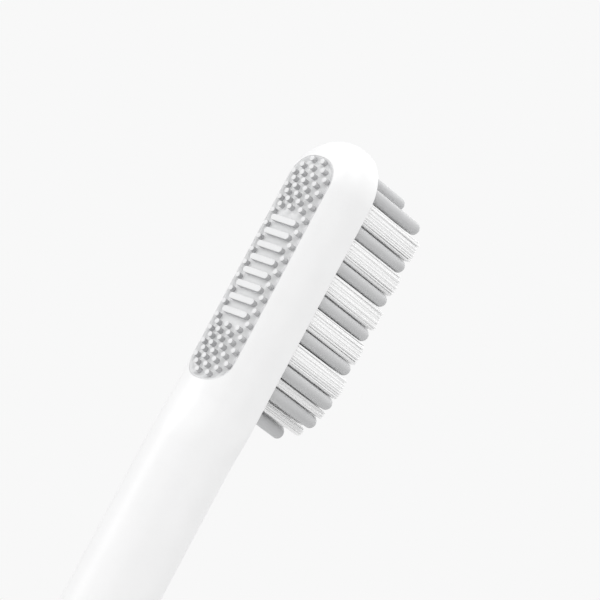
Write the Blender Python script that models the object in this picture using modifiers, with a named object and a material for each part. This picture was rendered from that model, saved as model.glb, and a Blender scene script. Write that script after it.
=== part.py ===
"""Slim battery toothbrush, modelled as an assembly of separate pieces.

The frame's origin is the middle of the flat base. +Z runs up the handle to the tip of the
brush head, +Y points to the back of the head, with its rubber pad, and -Y to the bristles
and the button. All sizes are in metres.
"""
import math

import bmesh
import bpy
from mathutils import Matrix, Vector

# Fits
seat_gap = 0.00015
slip_gap = 0.00025
cut_overrun = 0.002
weld_distance = 0.000001

# Battery, one AAA cell
battery_radius = 0.00525
battery_length = 0.0445
battery_nub_radius = 0.0019
battery_nub_height = 0.0009
battery_edge = 0.0004

# Chassis
cradle_wall = 0.0009
cradle_floor = 0.0012
cradle_opening_y = 0.0012
bulkhead_thickness = 0.002
spine_thickness = 0.0014
spine_drop = 0.0005
collar_drop = 0.0062
collar_rise = 0.0032
collar_groove_drop = 0.0036

# Battery contacts and spring
contact_thickness = 0.0003
contact_width = 0.0032
contact_foot_rise = 0.0052
contact_slot_gap = 0.0002
spring_radius = 0.003
spring_wire_radius = 0.0003
spring_length = 0.005
spring_turns = 4

# Handle shell and base
shell_wall = 0.0014
base_flange = 0.0014
base_plug_depth = 0.005
base_edge = 0.0009
foot_clearance = 0.0009

# Handle heights
bay_below_joint = 0.0266
housing_length = 0.0257
taper_below_joint = 0.010
taper_into_head = 0.009

# Upper housing
housing_wall = 0.001
housing_lip = 0.002

# Sealing ring between the chassis and the shell
sealing_ring_section = 0.00055

# Circuit board and what sits on it
board_half_width = 0.004
board_thickness = 0.0008
board_bottom_rise = 0.003
board_to_motor = 0.0053
chip_side = 0.0046
chip_height = 0.0008
chip_rise = 0.0075
capacitor_radius = 0.0016
capacitor_height = 0.0022
capacitor_rise = 0.0158
capacitor_edge = 0.0003
lamp_side = 0.0014
lamp_height = 0.0007
trim_edge = 0.0001
light_pipe_radius = 0.0008
light_pipe_crown = 0.0002
switch_side = 0.0036
switch_height = 0.001
switch_floor = 0.0003
switch_plunger_radius = 0.0009
screw_head_radius = 0.001
screw_head_height = 0.0006
screw_shank_radius = 0.0005
screw_shank_length = 0.0017
lower_screw_rise = 0.0168
screw_aside = 0.0026

# Room left over between the collar and the board's top, shared out round the lamp and the button
below_lamp_share = 0.3235
below_button_share = 0.2451
upper_screw_share = 0.6154

# Button
button_radius = 0.003
button_flange_width = 0.0005
button_flange = 0.00045
button_stand = 0.00025
button_edge = 0.0005
button_travel = 0.0005

# Drive spigot and motor
spigot_wall = 0.0005
spigot_flange_width = 0.0005
spigot_flange_height = 0.003
spigot_skirt = 0.001
spigot_rise = 0.0197
spigot_roof = 0.002
spigot_edge = 0.0012
motor_sleeve_wall = 0.0003
motor_length = 0.0115
motor_cap_height = 0.0016
motor_cap_rise = 0.001
motor_boss_radius = 0.0009
motor_boss_height = 0.0004
shaft_radius = 0.0004
shaft_running_gap = 0.00008
shaft_depth_in_motor = 0.004
shaft_rise = 0.0066
weight_length = 0.0045
weight_clearance = 0.0004
weight_hub_radius = 0.001
lead_radius = 0.0003
lead_aside = 0.0013
lead_root_share = 0.5
lead_pull = 0.0035

# Neck and coupling
neck_radius = 0.005175
neck_wall = 0.00085
coupling_wall = 0.00035
coupling_length = 0.014
coupling_inset = 0.0012
bore_end_room = 0.001
joint_ring_height = 0.0008
brush_head_length = 0.07475

# Head
head_half_width = 0.00495
head_crown = 0.0044
head_face = 0.0027
head_face_lean = 0.00005
head_face_edge = 0.00015
head_crown_power = 2.4
head_round_power = 2.0
head_morph_length = 0.0062
head_face_margin = 0.00085
cap_side_length = 0.0065
cap_back_length = 0.0071
cap_centre_y = -0.001
cap_face_power = 0.35
rim_wall = 0.0003

# Rubber pad on the back
pad_from_tip = 0.00365
pad_length = 0.0297
pad_half_width = 0.0033
pad_end_power = 2.35
pad_depth = 0.0012
pad_recess = 0.0003
dot_spacing_across = 0.000843
dot_spacing_along = 0.000867
dot_radius = 0.00036
dot_height = 0.0005
dot_edge_margin = 0.0002
rib_zone_from_end = 0.0076
rib_half_width = 0.00038
rib_half_length = 0.002
rib_height = 0.0005

# Bristle field
field_from_tip = 0.0022
field_length = 0.0307
plate_thickness = 0.0009
plate_sink = 0.00005
web_thickness = 0.0007
web_margin = 0.0002
finger_radius = 0.0008
finger_shank_radius = 0.00035
finger_margin = 0.0007
finger_height = 0.0106
end_finger_height = 0.0096
finger_step = 0.00012
tuft_radius = 0.00085
strand_radius = 0.00012
strand_height = 0.0112
strand_splay_share = 0.16
strand_tip_share = 0.7
strands_a_tuft = 10
least_strands = 3

# Places of the fingers: share of the side column, share of the field's length from its top
finger_rows = 5
finger_pitch_share = 0.15
first_finger_share = 0.224
finger_place_shares = [(0.0, 0.0), (0.81, 0.0645)]
finger_place_shares += [(1.0, first_finger_share + row * finger_pitch_share) for row in range(finger_rows)]
finger_place_shares += [(0.77, 0.912), (0.0, 1.0)]

# Places of the tufts in the same shares, with a share of the full tuft's radius
tuft_place_shares = [(0.31, 0.068, 0.76)]
for row in range(finger_rows):
    beside_share = first_finger_share + row * finger_pitch_share
    between_share = beside_share - 0.5 * finger_pitch_share
    tuft_place_shares += [(0.945, between_share, 1.0), (0.325, between_share, 0.88)]
    tuft_place_shares += [(0.0, beside_share, 0.8), (0.52, beside_share, 0.8)]
tuft_place_shares += [(0.86, 0.868, 0.45), (0.29, 0.897, 0.8), (0.39, 0.957, 0.7)]

# Facets
round_segments = 32
inner_segments = 24
small_segments = 12
ring_segments = 6
dot_segments = 6
finger_segments = 8
strand_segments = 3
crown_steps = 20
face_steps = 3
edge_steps = 2
flank_steps = 4
round_edge_steps = 3
finger_end_steps = 2
lead_steps = 8
cap_rings = 7
morph_rings = 5
sharp_angle = math.radians(40.0)

# Radii that follow from the fits, from the cell outwards
cell_bore = battery_radius + seat_gap
cradle_radius = cell_bore + cradle_wall
shell_bore = cradle_radius + slip_gap
body_radius = shell_bore + shell_wall

# Radii that follow from the fits, from the neck inwards
neck_bore = neck_radius - neck_wall
coupling_radius = neck_bore - seat_gap
coupling_bore = coupling_radius - coupling_wall
spigot_radius = coupling_bore - slip_gap
spigot_bore = spigot_radius - spigot_wall
motor_sleeve_radius = spigot_bore - seat_gap
motor_sleeve_bore = motor_sleeve_radius - motor_sleeve_wall
motor_radius = motor_sleeve_bore - seat_gap

# Heights, from the base upwards
shell_bottom = base_flange + seat_gap
cradle_bottom = shell_bottom + base_plug_depth + foot_clearance
strip_bottom = cradle_bottom + cradle_floor + seat_gap
spring_bottom = strip_bottom + contact_thickness + seat_gap
cell_bottom = spring_bottom + spring_length + seat_gap
cell_top = cell_bottom + battery_length
positive_bottom = cell_top + seat_gap
bulkhead_bottom = positive_bottom + contact_thickness + seat_gap
bulkhead_top = bulkhead_bottom + bulkhead_thickness
joint_z = bulkhead_top + bay_below_joint
housing_bottom = joint_z + slip_gap
housing_top = housing_bottom + housing_length
ring_bottom = housing_top + seat_gap
head_bottom = ring_bottom + joint_ring_height + seat_gap
tip_z = head_bottom + brush_head_length
spigot_top = housing_top + spigot_rise
spigot_flange_top = housing_top - housing_lip - seat_gap
spigot_flange_bottom = spigot_flange_top - spigot_flange_height
spigot_bottom = spigot_flange_bottom - spigot_skirt
motor_cap_bottom = spigot_bottom + motor_cap_rise
motor_bottom = motor_cap_bottom + motor_cap_height + seat_gap
motor_top = motor_bottom + motor_length
weight_bottom = motor_top + motor_boss_height + weight_clearance
head_bore_top = spigot_top + bore_end_room
taper_bottom = joint_z - taper_below_joint
taper_top = head_bottom + taper_into_head


def smooth_share(share):
    """An even ease from 0 to 1."""
    share = min(1.0, max(0.0, share))
    return share * share * (3.0 - 2.0 * share)


def outer_radius(z):
    """Radius of the toothbrush's round outside at a height."""
    share = smooth_share((z - taper_bottom) / (taper_top - taper_bottom))
    return body_radius + (neck_radius - body_radius) * share


# Heights on the front of the handle, between the collar and the board's top
collar_top = joint_z + collar_rise
board_top_z = motor_cap_bottom - board_to_motor
button_flange_radius = button_radius + button_flange_width
lamp_hole_radius = light_pipe_radius + seat_gap
spare_room = board_top_z - collar_top - 2.0 * lamp_hole_radius - button_flange_radius - switch_side / 2.0
lamp_z = collar_top + below_lamp_share * spare_room + lamp_hole_radius
button_z = lamp_z + lamp_hole_radius + below_button_share * spare_room + button_flange_radius
upper_screw_z = collar_top + upper_screw_share * (button_z - switch_side / 2.0 - collar_top)
board_bottom_z = bulkhead_top + board_bottom_rise

# Places on the front of the handle, as distances from the axis towards the button
housing_bore_at_button = outer_radius(button_z) - housing_wall
button_flange_front = math.sqrt(housing_bore_at_button ** 2 - button_flange_radius ** 2) - slip_gap
button_flange_back = button_flange_front - button_flange
plunger_tip = button_flange_back - seat_gap
switch_front = button_flange_back - button_travel - slip_gap
switch_back = switch_front - switch_height
board_front = switch_back - seat_gap
board_back = board_front - board_thickness
spine_front = board_back - seat_gap
spine_back = spine_front - spine_thickness

# Layers of the bristle field, as distances from the axis towards the bristles
plate_back = head_face - plate_thickness
web_front = plate_back - seat_gap
web_back = web_front - web_thickness
finger_shoulder = head_face + finger_step
plate_half_width = head_half_width - head_face_lean - rim_wall - seat_gap
web_half_width = plate_half_width - web_margin
finger_column = plate_half_width - finger_margin
field_top_z = tip_z - field_from_tip
field_bottom_z = field_top_z - field_length
face_bottom_z = field_bottom_z - finger_margin - rim_wall - head_face_margin
morph_bottom_z = face_bottom_z - head_morph_length
pad_top_z = tip_z - pad_from_tip
pad_bottom_z = pad_top_z - pad_length


def clear_scene():
    """Remove every object, so that the model starts from nothing."""
    for found in list(bpy.data.objects):
        bpy.data.objects.remove(found, do_unlink=True)


def new_collection(name):
    """Make a collection and link it to the scene."""
    made = bpy.data.collections.new(name)
    bpy.context.scene.collection.children.link(made)
    return made


clear_scene()
parts = new_collection("electric_toothbrush")
cutters = new_collection("cutters")


def plastic(name, colour, roughness, metallic=0.0):
    """Make a plain material with a colour, a roughness and a metallic value."""
    made = bpy.data.materials.new(name)
    made.use_nodes = True
    shader = made.node_tree.nodes["Principled BSDF"]
    shader.inputs["Base Color"].default_value = (*colour, 1.0)
    shader.inputs["Roughness"].default_value = roughness
    shader.inputs["Metallic"].default_value = metallic
    return made


white_plastic = plastic("white_plastic", (0.90, 0.90, 0.905), 0.32)
grey_rubber = plastic("grey_rubber", (0.60, 0.605, 0.61), 0.55)
bristle_white = plastic("bristle_white", (0.92, 0.92, 0.925), 0.40)
natural_plastic = plastic("natural_plastic", (0.78, 0.78, 0.76), 0.42)
frame_plastic = plastic("frame_plastic", (0.35, 0.36, 0.38), 0.50)
board_green = plastic("board_green", (0.03, 0.16, 0.08), 0.45)
chip_black = plastic("chip_black", (0.03, 0.03, 0.035), 0.40)
black_rubber = plastic("black_rubber", (0.04, 0.04, 0.045), 0.65)
clear_plastic = plastic("clear_plastic", (0.85, 0.88, 0.90), 0.10)
steel = plastic("steel", (0.62, 0.62, 0.63), 0.28, 1.0)
spring_steel = plastic("spring_steel", (0.70, 0.69, 0.66), 0.25, 1.0)
tungsten = plastic("tungsten", (0.36, 0.36, 0.37), 0.35, 1.0)
cell_wrap = plastic("cell_wrap", (0.30, 0.33, 0.36), 0.35)
wire_red = plastic("wire_red", (0.50, 0.03, 0.02), 0.45)
wire_black = plastic("wire_black", (0.03, 0.03, 0.03), 0.45)


def empty_at(name, place, parent=None):
    """Add an empty that carries the pieces of one moving body."""
    made = bpy.data.objects.new(name, None)
    made.location = place
    made.parent = parent
    parts.objects.link(made)
    return made


handle = empty_at("handle_frame", (0.0, 0.0, 0.0))
drive_module = empty_at("drive_module_frame", (0.0, 0.0, 0.0), handle)
rotor = empty_at("rotor_frame", (0.0, 0.0, 0.0), drive_module)
button = empty_at("button_frame", (0.0, 0.0, 0.0), drive_module)
brush_head = empty_at("brush_head_frame", (0.0, 0.0, 0.0), drive_module)


def piece(name, mesh, material, body, place=(0.0, 0.0, 0.0), turn=(0.0, 0.0, 0.0)):
    """Place a mesh as a named piece of a body."""
    made = bpy.data.objects.new(name, mesh)
    made.location = place
    made.rotation_euler = turn
    made.parent = body
    mesh.materials.append(material)
    parts.objects.link(made)
    return made


def tool(name, mesh, place=(0.0, 0.0, 0.0), turn=(0.0, 0.0, 0.0)):
    """Place a mesh as a hidden cutter."""
    made = bpy.data.objects.new(name, mesh)
    made.location = place
    made.rotation_euler = turn
    made.hide_render = True
    made.display_type = "WIRE"
    cutters.objects.link(made)
    return made


def combine(target, other, operation):
    """Cut, join or intersect a piece with another object."""
    step = target.modifiers.new(operation.lower() + "_" + other.name, "BOOLEAN")
    step.operation = operation
    step.object = other
    step.solver = "EXACT"


def profile_mesh(name, outline, closed):
    """A line of points (radius, height), ready to be turned about Z."""
    mesh = bpy.data.meshes.new(name)
    points = [(radius, 0.0, height) for radius, height in outline]
    edges = [(index, index + 1) for index in range(len(points) - 1)]
    if closed:
        edges.append((len(points) - 1, 0))
    mesh.from_pydata(points, edges, [])
    return mesh


def turn_about_z(target, segments):
    """Turn a piece's profile about its own Z axis."""
    screw = target.modifiers.new("turned", "SCREW")
    screw.axis = "Z"
    screw.steps = segments
    screw.render_steps = segments
    screw.use_merge_vertices = True
    screw.merge_threshold = weld_distance
    screw.use_smooth_shade = True
    return target


def turned_piece(name, outline, material, body, closed=False, segments=round_segments, **placing):
    """A turned piece, from an outline that runs down its outer side."""
    made = piece(name, profile_mesh(name, outline, closed), material, body, **placing)
    return turn_about_z(made, segments)


def turned_tool(name, outline, closed=False, segments=round_segments, **placing):
    """A turned cutter, from an outline that runs down its outer side."""
    made = tool(name, profile_mesh(name, outline, closed), **placing)
    return turn_about_z(made, segments)


def rod_outline(radius, bottom, top):
    """Outline of a plain solid rod."""
    return [(0.0, top), (radius, top), (radius, bottom), (0.0, bottom)]


def tube_outline(outer, inner, bottom, top):
    """Outline of a plain tube."""
    return [(outer, top), (outer, bottom), (inner, bottom), (inner, top)]


def rounded_rod_outline(radius, bottom, top, edge, steps=round_edge_steps):
    """Outline of a solid rod whose upper edge is rounded."""
    outline = [(0.0, top)]
    for step in range(steps + 1):
        angle = 0.5 * math.pi * step / steps
        outline.append((radius - edge + edge * math.sin(angle), top - edge + edge * math.cos(angle)))
    return outline + [(radius, bottom), (0.0, bottom)]


def box_mesh(name, low, high):
    """A box between two corners."""
    low = Vector(low)
    high = Vector(high)
    mesh = bpy.data.meshes.new(name)
    shape = bmesh.new()
    bmesh.ops.create_cube(shape, size=1.0)
    bmesh.ops.scale(shape, vec=high - low, verts=shape.verts)
    bmesh.ops.translate(shape, vec=(low + high) / 2.0, verts=shape.verts)
    shape.to_mesh(mesh)
    shape.free()
    return mesh


def front_box(name, half_width, back, front, bottom, top):
    """A box on the front of the axis, given by distances towards the button."""
    return box_mesh(name, (-half_width, -front, bottom), (half_width, -back, top))


def ease_edges(target, width, segments=1):
    """Round the sharp edges of a piece."""
    bevel = target.modifiers.new("eased_edges", "BEVEL")
    bevel.width = width
    bevel.segments = segments
    bevel.limit_method = "ANGLE"


def curve_to_mesh(name, curve):
    """Turn a curve into a closed mesh, with its caps welded on."""
    holder = bpy.data.objects.new(name + "_curve", curve)
    cutters.objects.link(holder)
    graph = bpy.context.evaluated_depsgraph_get()
    graph.update()
    mesh = bpy.data.meshes.new_from_object(holder.evaluated_get(graph))
    bpy.data.objects.remove(holder, do_unlink=True)
    shape = bmesh.new()
    shape.from_mesh(mesh)
    bmesh.ops.remove_doubles(shape, verts=shape.verts, dist=weld_distance)
    bmesh.ops.recalc_face_normals(shape, faces=shape.faces)
    shape.to_mesh(mesh)
    shape.free()
    mesh.name = name
    return mesh


def wire_mesh(name, points, radius):
    """A round wire along a line of points."""
    curve = bpy.data.curves.new(name, "CURVE")
    curve.dimensions = "3D"
    curve.bevel_depth = radius
    curve.bevel_resolution = 1
    curve.use_fill_caps = True
    line = curve.splines.new("POLY")
    line.points.add(len(points) - 1)
    for spot, point in zip(line.points, points):
        spot.co = (*point, 1.0)
    return curve_to_mesh(name, curve)


def outline_mesh(name, outline, thickness):
    """A flat outline in its own XY plane, filled and given a thickness about that plane."""
    curve = bpy.data.curves.new(name, "CURVE")
    curve.dimensions = "2D"
    curve.fill_mode = "BOTH"
    curve.extrude = thickness / 2.0
    line = curve.splines.new("POLY")
    line.points.add(len(outline) - 1)
    for spot, point in zip(line.points, outline):
        spot.co = (*point, 0.0, 1.0)
    line.use_cyclic_u = True
    return curve_to_mesh(name, curve)


def facing_front_at(x, front, z):
    """A turn that takes +Z to the front, then a move to a place given by its distance to the front."""
    return Matrix.Translation((x, -front, z)) @ Matrix.Rotation(math.pi / 2.0, 4, "X")


def eased_share(share, power):
    """A sine or cosine, bent so that a round end comes out fuller where the power is above 2."""
    return math.copysign(abs(share) ** (2.0 / power), share)


def stadium_outline(half_width, bottom, top, end_power, steps=10):
    """A long outline with round ends, centred on x = 0."""
    outline = []
    for end_z, first_angle in ((top - half_width, 0.0), (bottom + half_width, math.pi)):
        for step in range(steps + 1):
            angle = first_angle + math.pi * step / steps
            outline.append((half_width * eased_share(math.cos(angle), end_power),
                            end_z + half_width * eased_share(math.sin(angle), end_power)))
    return outline


def stadium_prism(name, half_width, bottom, top, back, front, end_power=2.0):
    """A stadium in the plane of the head, from one distance to the front to another."""
    mesh = outline_mesh(name, stadium_outline(half_width, bottom, top, end_power), front - back)
    mesh.transform(facing_front_at(0.0, (front + back) / 2.0, 0.0))
    return mesh


# Base cap: a soft foot whose plug closes the bottom of the shell
base_bulge_share = 1.0 - math.sqrt(0.5)
base_radius = outer_radius(0.0)
base_plug_radius = shell_bore - seat_gap
base_outline = [(0.0, shell_bottom + base_plug_depth), (base_plug_radius, shell_bottom + base_plug_depth),
                (base_plug_radius, base_flange), (base_radius, base_flange), (base_radius, base_edge),
                (base_radius - base_bulge_share * base_edge, base_bulge_share * base_edge),
                (base_radius - base_edge, 0.0), (0.0, 0.0)]
turned_piece("base_cap", base_outline, grey_rubber, handle)


def flank(top, bottom, steps, inset=0.0):
    """Points down the round outside between two heights."""
    heights = [top + (bottom - top) * step / steps for step in range(steps + 1)]
    return [(outer_radius(height) - inset, height) for height in heights]


# Handle shell: the lower casing tube
shell_outline = flank(joint_z, taper_bottom, flank_steps) + [(outer_radius(shell_bottom), shell_bottom)]
shell_outline += [(shell_bore, shell_bottom), (shell_bore, joint_z)]
turned_piece("handle_shell", shell_outline, white_plastic, handle, closed=True)

# Upper housing: the exposed part of the handle, with a lip round the spigot
lip_bottom = housing_top - housing_lip
lip_radius = spigot_radius + seat_gap
housing_outline = flank(housing_top, housing_bottom, flank_steps)
housing_outline += list(reversed(flank(lip_bottom, housing_bottom, flank_steps, housing_wall)))
housing_outline += [(lip_radius, lip_bottom), (lip_radius, housing_top)]
upper_housing = turned_piece("upper_housing", housing_outline, white_plastic, drive_module, closed=True)
facing_front = (math.pi / 2.0, 0.0, 0.0)
hole_reach = body_radius + cut_overrun
button_hole = turned_tool("button_hole", rod_outline(button_radius + slip_gap, board_front, hole_reach),
                          segments=inner_segments, place=(0.0, 0.0, button_z), turn=facing_front)
lamp_hole = turned_tool("lamp_hole", rod_outline(lamp_hole_radius, board_front, hole_reach),
                        segments=small_segments, place=(0.0, 0.0, lamp_z), turn=facing_front)
combine(upper_housing, button_hole, "DIFFERENCE")
combine(upper_housing, lamp_hole, "DIFFERENCE")

# Chassis: the cradle, its end walls, the board's spine and the collar under the housing
collar_bottom = joint_z - collar_drop
groove_bottom = joint_z - collar_groove_drop
groove_top = groove_bottom + 2.0 * (sealing_ring_section + seat_gap)
ring_centre_radius = shell_bore - seat_gap - sealing_ring_section
groove_radius = ring_centre_radius - sealing_ring_section - seat_gap
collar_upper_radius = outer_radius(collar_top) - housing_wall - seat_gap
collar_outline = [(0.0, collar_top), (collar_upper_radius, collar_top), (collar_upper_radius, joint_z),
                  (cradle_radius, joint_z - seat_gap), (cradle_radius, groove_top),
                  (groove_radius, groove_top), (groove_radius, groove_bottom),
                  (cradle_radius, groove_bottom), (cradle_radius, collar_bottom), (0.0, collar_bottom)]
chassis = turned_piece("chassis", rod_outline(cradle_radius, cradle_bottom, bulkhead_top), frame_plastic,
                       drive_module)
pocket_bottom = cradle_bottom + cradle_floor
cell_pocket = turned_tool("cell_pocket", rod_outline(cell_bore, pocket_bottom, bulkhead_bottom))
cell_window = tool("cell_window", box_mesh("cell_window", (-body_radius, cradle_opening_y, pocket_bottom),
                                           (body_radius, body_radius, bulkhead_bottom)))
collar = turned_tool("collar", collar_outline)
spine = tool("spine", front_box("spine", board_half_width, spine_back, spine_front,
                                bulkhead_top - bulkhead_thickness / 2.0, board_top_z - spine_drop))
board_slot = tool("board_slot", front_box("board_slot", board_half_width + seat_gap, spine_front,
                                          board_front + seat_gap, collar_bottom - cut_overrun,
                                          collar_top + cut_overrun))
strip_front = cradle_radius - seat_gap
strip_back = strip_front - contact_thickness
strip_top = bulkhead_top + contact_foot_rise
strip_groove = tool("strip_groove", front_box("strip_groove", contact_width / 2.0 + contact_slot_gap,
                    strip_back - contact_slot_gap, body_radius, strip_bottom - contact_slot_gap,
                    bulkhead_top + cut_overrun))
strip_slot = tool("strip_slot", front_box("strip_slot", contact_width / 2.0 + contact_slot_gap,
                  -spring_radius, strip_front, strip_bottom - contact_slot_gap,
                  strip_bottom + contact_thickness + contact_slot_gap))
positive_back = board_front + seat_gap
positive_front = positive_back + contact_thickness
positive_slot = tool("positive_slot", front_box("positive_slot", contact_width / 2.0 + contact_slot_gap,
                     positive_back - contact_slot_gap, positive_front + contact_slot_gap,
                     bulkhead_bottom - cut_overrun, bulkhead_top + cut_overrun))
for shape, operation in ((cell_pocket, "DIFFERENCE"), (cell_window, "DIFFERENCE"), (collar, "UNION"),
                         (spine, "UNION"), (board_slot, "DIFFERENCE"), (strip_groove, "DIFFERENCE"),
                         (strip_slot, "DIFFERENCE"), (positive_slot, "DIFFERENCE")):
    combine(chassis, shape, operation)

# Sealing ring in the collar's groove
ring_outline = []
ring_z = (groove_bottom + groove_top) / 2.0
for step in range(ring_segments):
    angle = -2.0 * math.pi * step / ring_segments
    ring_outline.append((ring_centre_radius + sealing_ring_section * math.cos(angle),
                         ring_z + sealing_ring_section * math.sin(angle)))
turned_piece("sealing_ring", ring_outline, black_rubber, drive_module, closed=True)

# Battery cell, with its nub at the top
cell_shoulder = battery_length - battery_nub_height
cell_outline = [(0.0, battery_length), (battery_nub_radius, battery_length),
                (battery_nub_radius, cell_shoulder), (battery_radius - battery_edge, cell_shoulder),
                (battery_radius, cell_shoulder - battery_edge), (battery_radius, battery_edge),
                (battery_radius - battery_edge, 0.0), (0.0, 0.0)]
turned_piece("battery_cell", cell_outline, cell_wrap, drive_module, place=(0.0, 0.0, cell_bottom))


def strip_piece(name, outline):
    """A stamped contact, from its outline seen from the side: distance to the front, height."""
    mesh = outline_mesh(name, outline, contact_width)
    mesh.transform(Matrix.Rotation(-math.pi / 2.0, 4, "Z") @ Matrix.Rotation(math.pi / 2.0, 4, "X"))
    shape = bmesh.new()
    shape.from_mesh(mesh)
    bmesh.ops.recalc_face_normals(shape, faces=shape.faces)
    shape.to_mesh(mesh)
    shape.free()
    return piece(name, mesh, spring_steel, drive_module)


# Negative contact: under the spring, out through the cradle, up its groove and in to the board
strip_foot_bottom = strip_top - contact_thickness
strip_foot_end = board_front + seat_gap
strip_piece("negative_contact_strip", [
    (-spring_radius, strip_bottom), (strip_front, strip_bottom), (strip_front, strip_top),
    (strip_foot_end, strip_top), (strip_foot_end, strip_foot_bottom), (strip_back, strip_foot_bottom),
    (strip_back, strip_bottom + contact_thickness), (-spring_radius, strip_bottom + contact_thickness)])

# Positive contact: over the nub and up to the board
positive_top = board_bottom_z + chip_side / 4.0
strip_piece("positive_contact", [
    (-battery_nub_radius, positive_bottom), (positive_front, positive_bottom), (positive_front, positive_top),
    (positive_back, positive_top), (positive_back, positive_bottom + contact_thickness),
    (-battery_nub_radius, positive_bottom + contact_thickness)])

# Battery spring: a coil of even pitch
points_a_curl = 10
coil_height = spring_length - 2.0 * spring_wire_radius
coil_count = spring_turns * points_a_curl
coil_points = []
for step in range(coil_count + 1):
    angle = 2.0 * math.pi * step / points_a_curl
    coil_points.append(((spring_radius - spring_wire_radius) * math.cos(angle),
                        (spring_radius - spring_wire_radius) * math.sin(angle),
                        spring_wire_radius + coil_height * step / coil_count))
coil_gap = min((Vector(coil_points[low]) - Vector(coil_points[high])).length - 2.0 * spring_wire_radius
               for low in range(coil_count + 1) for high in range(low + points_a_curl // 2, coil_count + 1))
print("least gap between the spring's curls, in mm:", round(coil_gap * 1000.0, 3))
piece("battery_spring", wire_mesh("battery_spring", coil_points, spring_wire_radius), spring_steel,
      drive_module, place=(0.0, 0.0, spring_bottom))

# Circuit board, with its screw holes
circuit_board = piece("circuit_board", front_box("circuit_board", board_half_width - seat_gap, board_back,
                                                 board_front, board_bottom_z, board_top_z),
                      board_green, drive_module)
part_seat = board_front + seat_gap
for screw_name, screw_z in (("board_screw_lower", bulkhead_top + lower_screw_rise),
                            ("board_screw_upper", upper_screw_z)):
    shank_end = part_seat - screw_shank_length
    screw_outline = [(0.0, part_seat + screw_head_height), (screw_head_radius, part_seat + screw_head_height),
                     (screw_head_radius, part_seat), (screw_shank_radius, part_seat),
                     (screw_shank_radius, shank_end), (0.0, shank_end)]
    screw_place = (screw_aside, 0.0, screw_z)
    turned_piece(screw_name, screw_outline, steel, drive_module, segments=small_segments,
                 place=screw_place, turn=facing_front)
    screw_hole = turned_tool(screw_name + "_hole", rod_outline(screw_shank_radius + seat_gap,
                             spine_back - cut_overrun, board_front + cut_overrun),
                             segments=small_segments, place=screw_place, turn=facing_front)
    combine(circuit_board, screw_hole, "DIFFERENCE")
    combine(chassis, screw_hole, "DIFFERENCE")

# Parts on the board
chip_z = bulkhead_top + chip_rise
control_chip = piece("control_chip", front_box("control_chip", chip_side / 2.0, part_seat,
                                               part_seat + chip_height, chip_z, chip_z + chip_side),
                     chip_black, drive_module)
ease_edges(control_chip, trim_edge)
capacitor_top = part_seat + capacitor_height
capacitor_outline = rounded_rod_outline(capacitor_radius, part_seat, capacitor_top, capacitor_edge)
capacitor_z = bulkhead_top + capacitor_rise
turned_piece("capacitor", capacitor_outline, steel, drive_module, segments=small_segments,
             place=(0.0, 0.0, capacitor_z), turn=facing_front)
indicator_lamp = piece("indicator_lamp", front_box("indicator_lamp", lamp_side / 2.0, part_seat,
                                                   part_seat + lamp_height, lamp_z - lamp_side / 2.0,
                                                   lamp_z + lamp_side / 2.0),
                       clear_plastic, drive_module)
ease_edges(indicator_lamp, trim_edge)
pipe_back = part_seat + lamp_height + seat_gap
pipe_front = outer_radius(lamp_z) + light_pipe_crown
light_pipe_outline = rounded_rod_outline(light_pipe_radius, pipe_back, pipe_front, light_pipe_crown)
turned_piece("light_pipe", light_pipe_outline, clear_plastic, drive_module, segments=small_segments,
             place=(0.0, 0.0, lamp_z), turn=facing_front)

# Push switch: a body with a blind bore, and the plunger that the button pushes
plunger_back = switch_back + switch_floor + button_travel + seat_gap
switch_bore = switch_plunger_radius + seat_gap
switch_body = piece("switch_body", front_box("switch_body", switch_side / 2.0, switch_back, switch_front,
                                             button_z - switch_side / 2.0, button_z + switch_side / 2.0),
                    chip_black, drive_module)
switch_hole = turned_tool("switch_hole", rod_outline(switch_bore, switch_back + switch_floor,
                                                     switch_front + cut_overrun),
                          segments=small_segments, place=(0.0, 0.0, button_z), turn=facing_front)
combine(switch_body, switch_hole, "DIFFERENCE")
turned_piece("switch_plunger", rod_outline(switch_plunger_radius, plunger_back, plunger_tip), natural_plastic,
             button, segments=small_segments, place=(0.0, 0.0, button_z), turn=facing_front)

# Button: a round soft cap, with a flange that keeps it behind the housing
button_front = outer_radius(button_z) + button_stand
button_outline = rounded_rod_outline(button_radius, button_flange_front, button_front, button_edge)[:-1]
button_outline += [(button_flange_radius, button_flange_front), (button_flange_radius, button_flange_back),
                   (0.0, button_flange_back)]
turned_piece("button_cap", button_outline, grey_rubber, button, segments=inner_segments,
             place=(0.0, 0.0, button_z), turn=facing_front)

# Drive spigot: a hollow nose with a flange under the housing's lip
spigot_outline = rounded_rod_outline(spigot_radius, spigot_flange_top, spigot_top, spigot_edge)[:-1]
spigot_flange_radius = spigot_radius + spigot_flange_width
spigot_outline += [(spigot_flange_radius, spigot_flange_top), (spigot_flange_radius, spigot_flange_bottom),
                   (spigot_radius, spigot_flange_bottom), (spigot_radius, spigot_bottom),
                   (spigot_bore, spigot_bottom), (spigot_bore, spigot_top - spigot_roof),
                   (0.0, spigot_top - spigot_roof)]
turned_piece("drive_spigot", spigot_outline, natural_plastic, drive_module)

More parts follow.
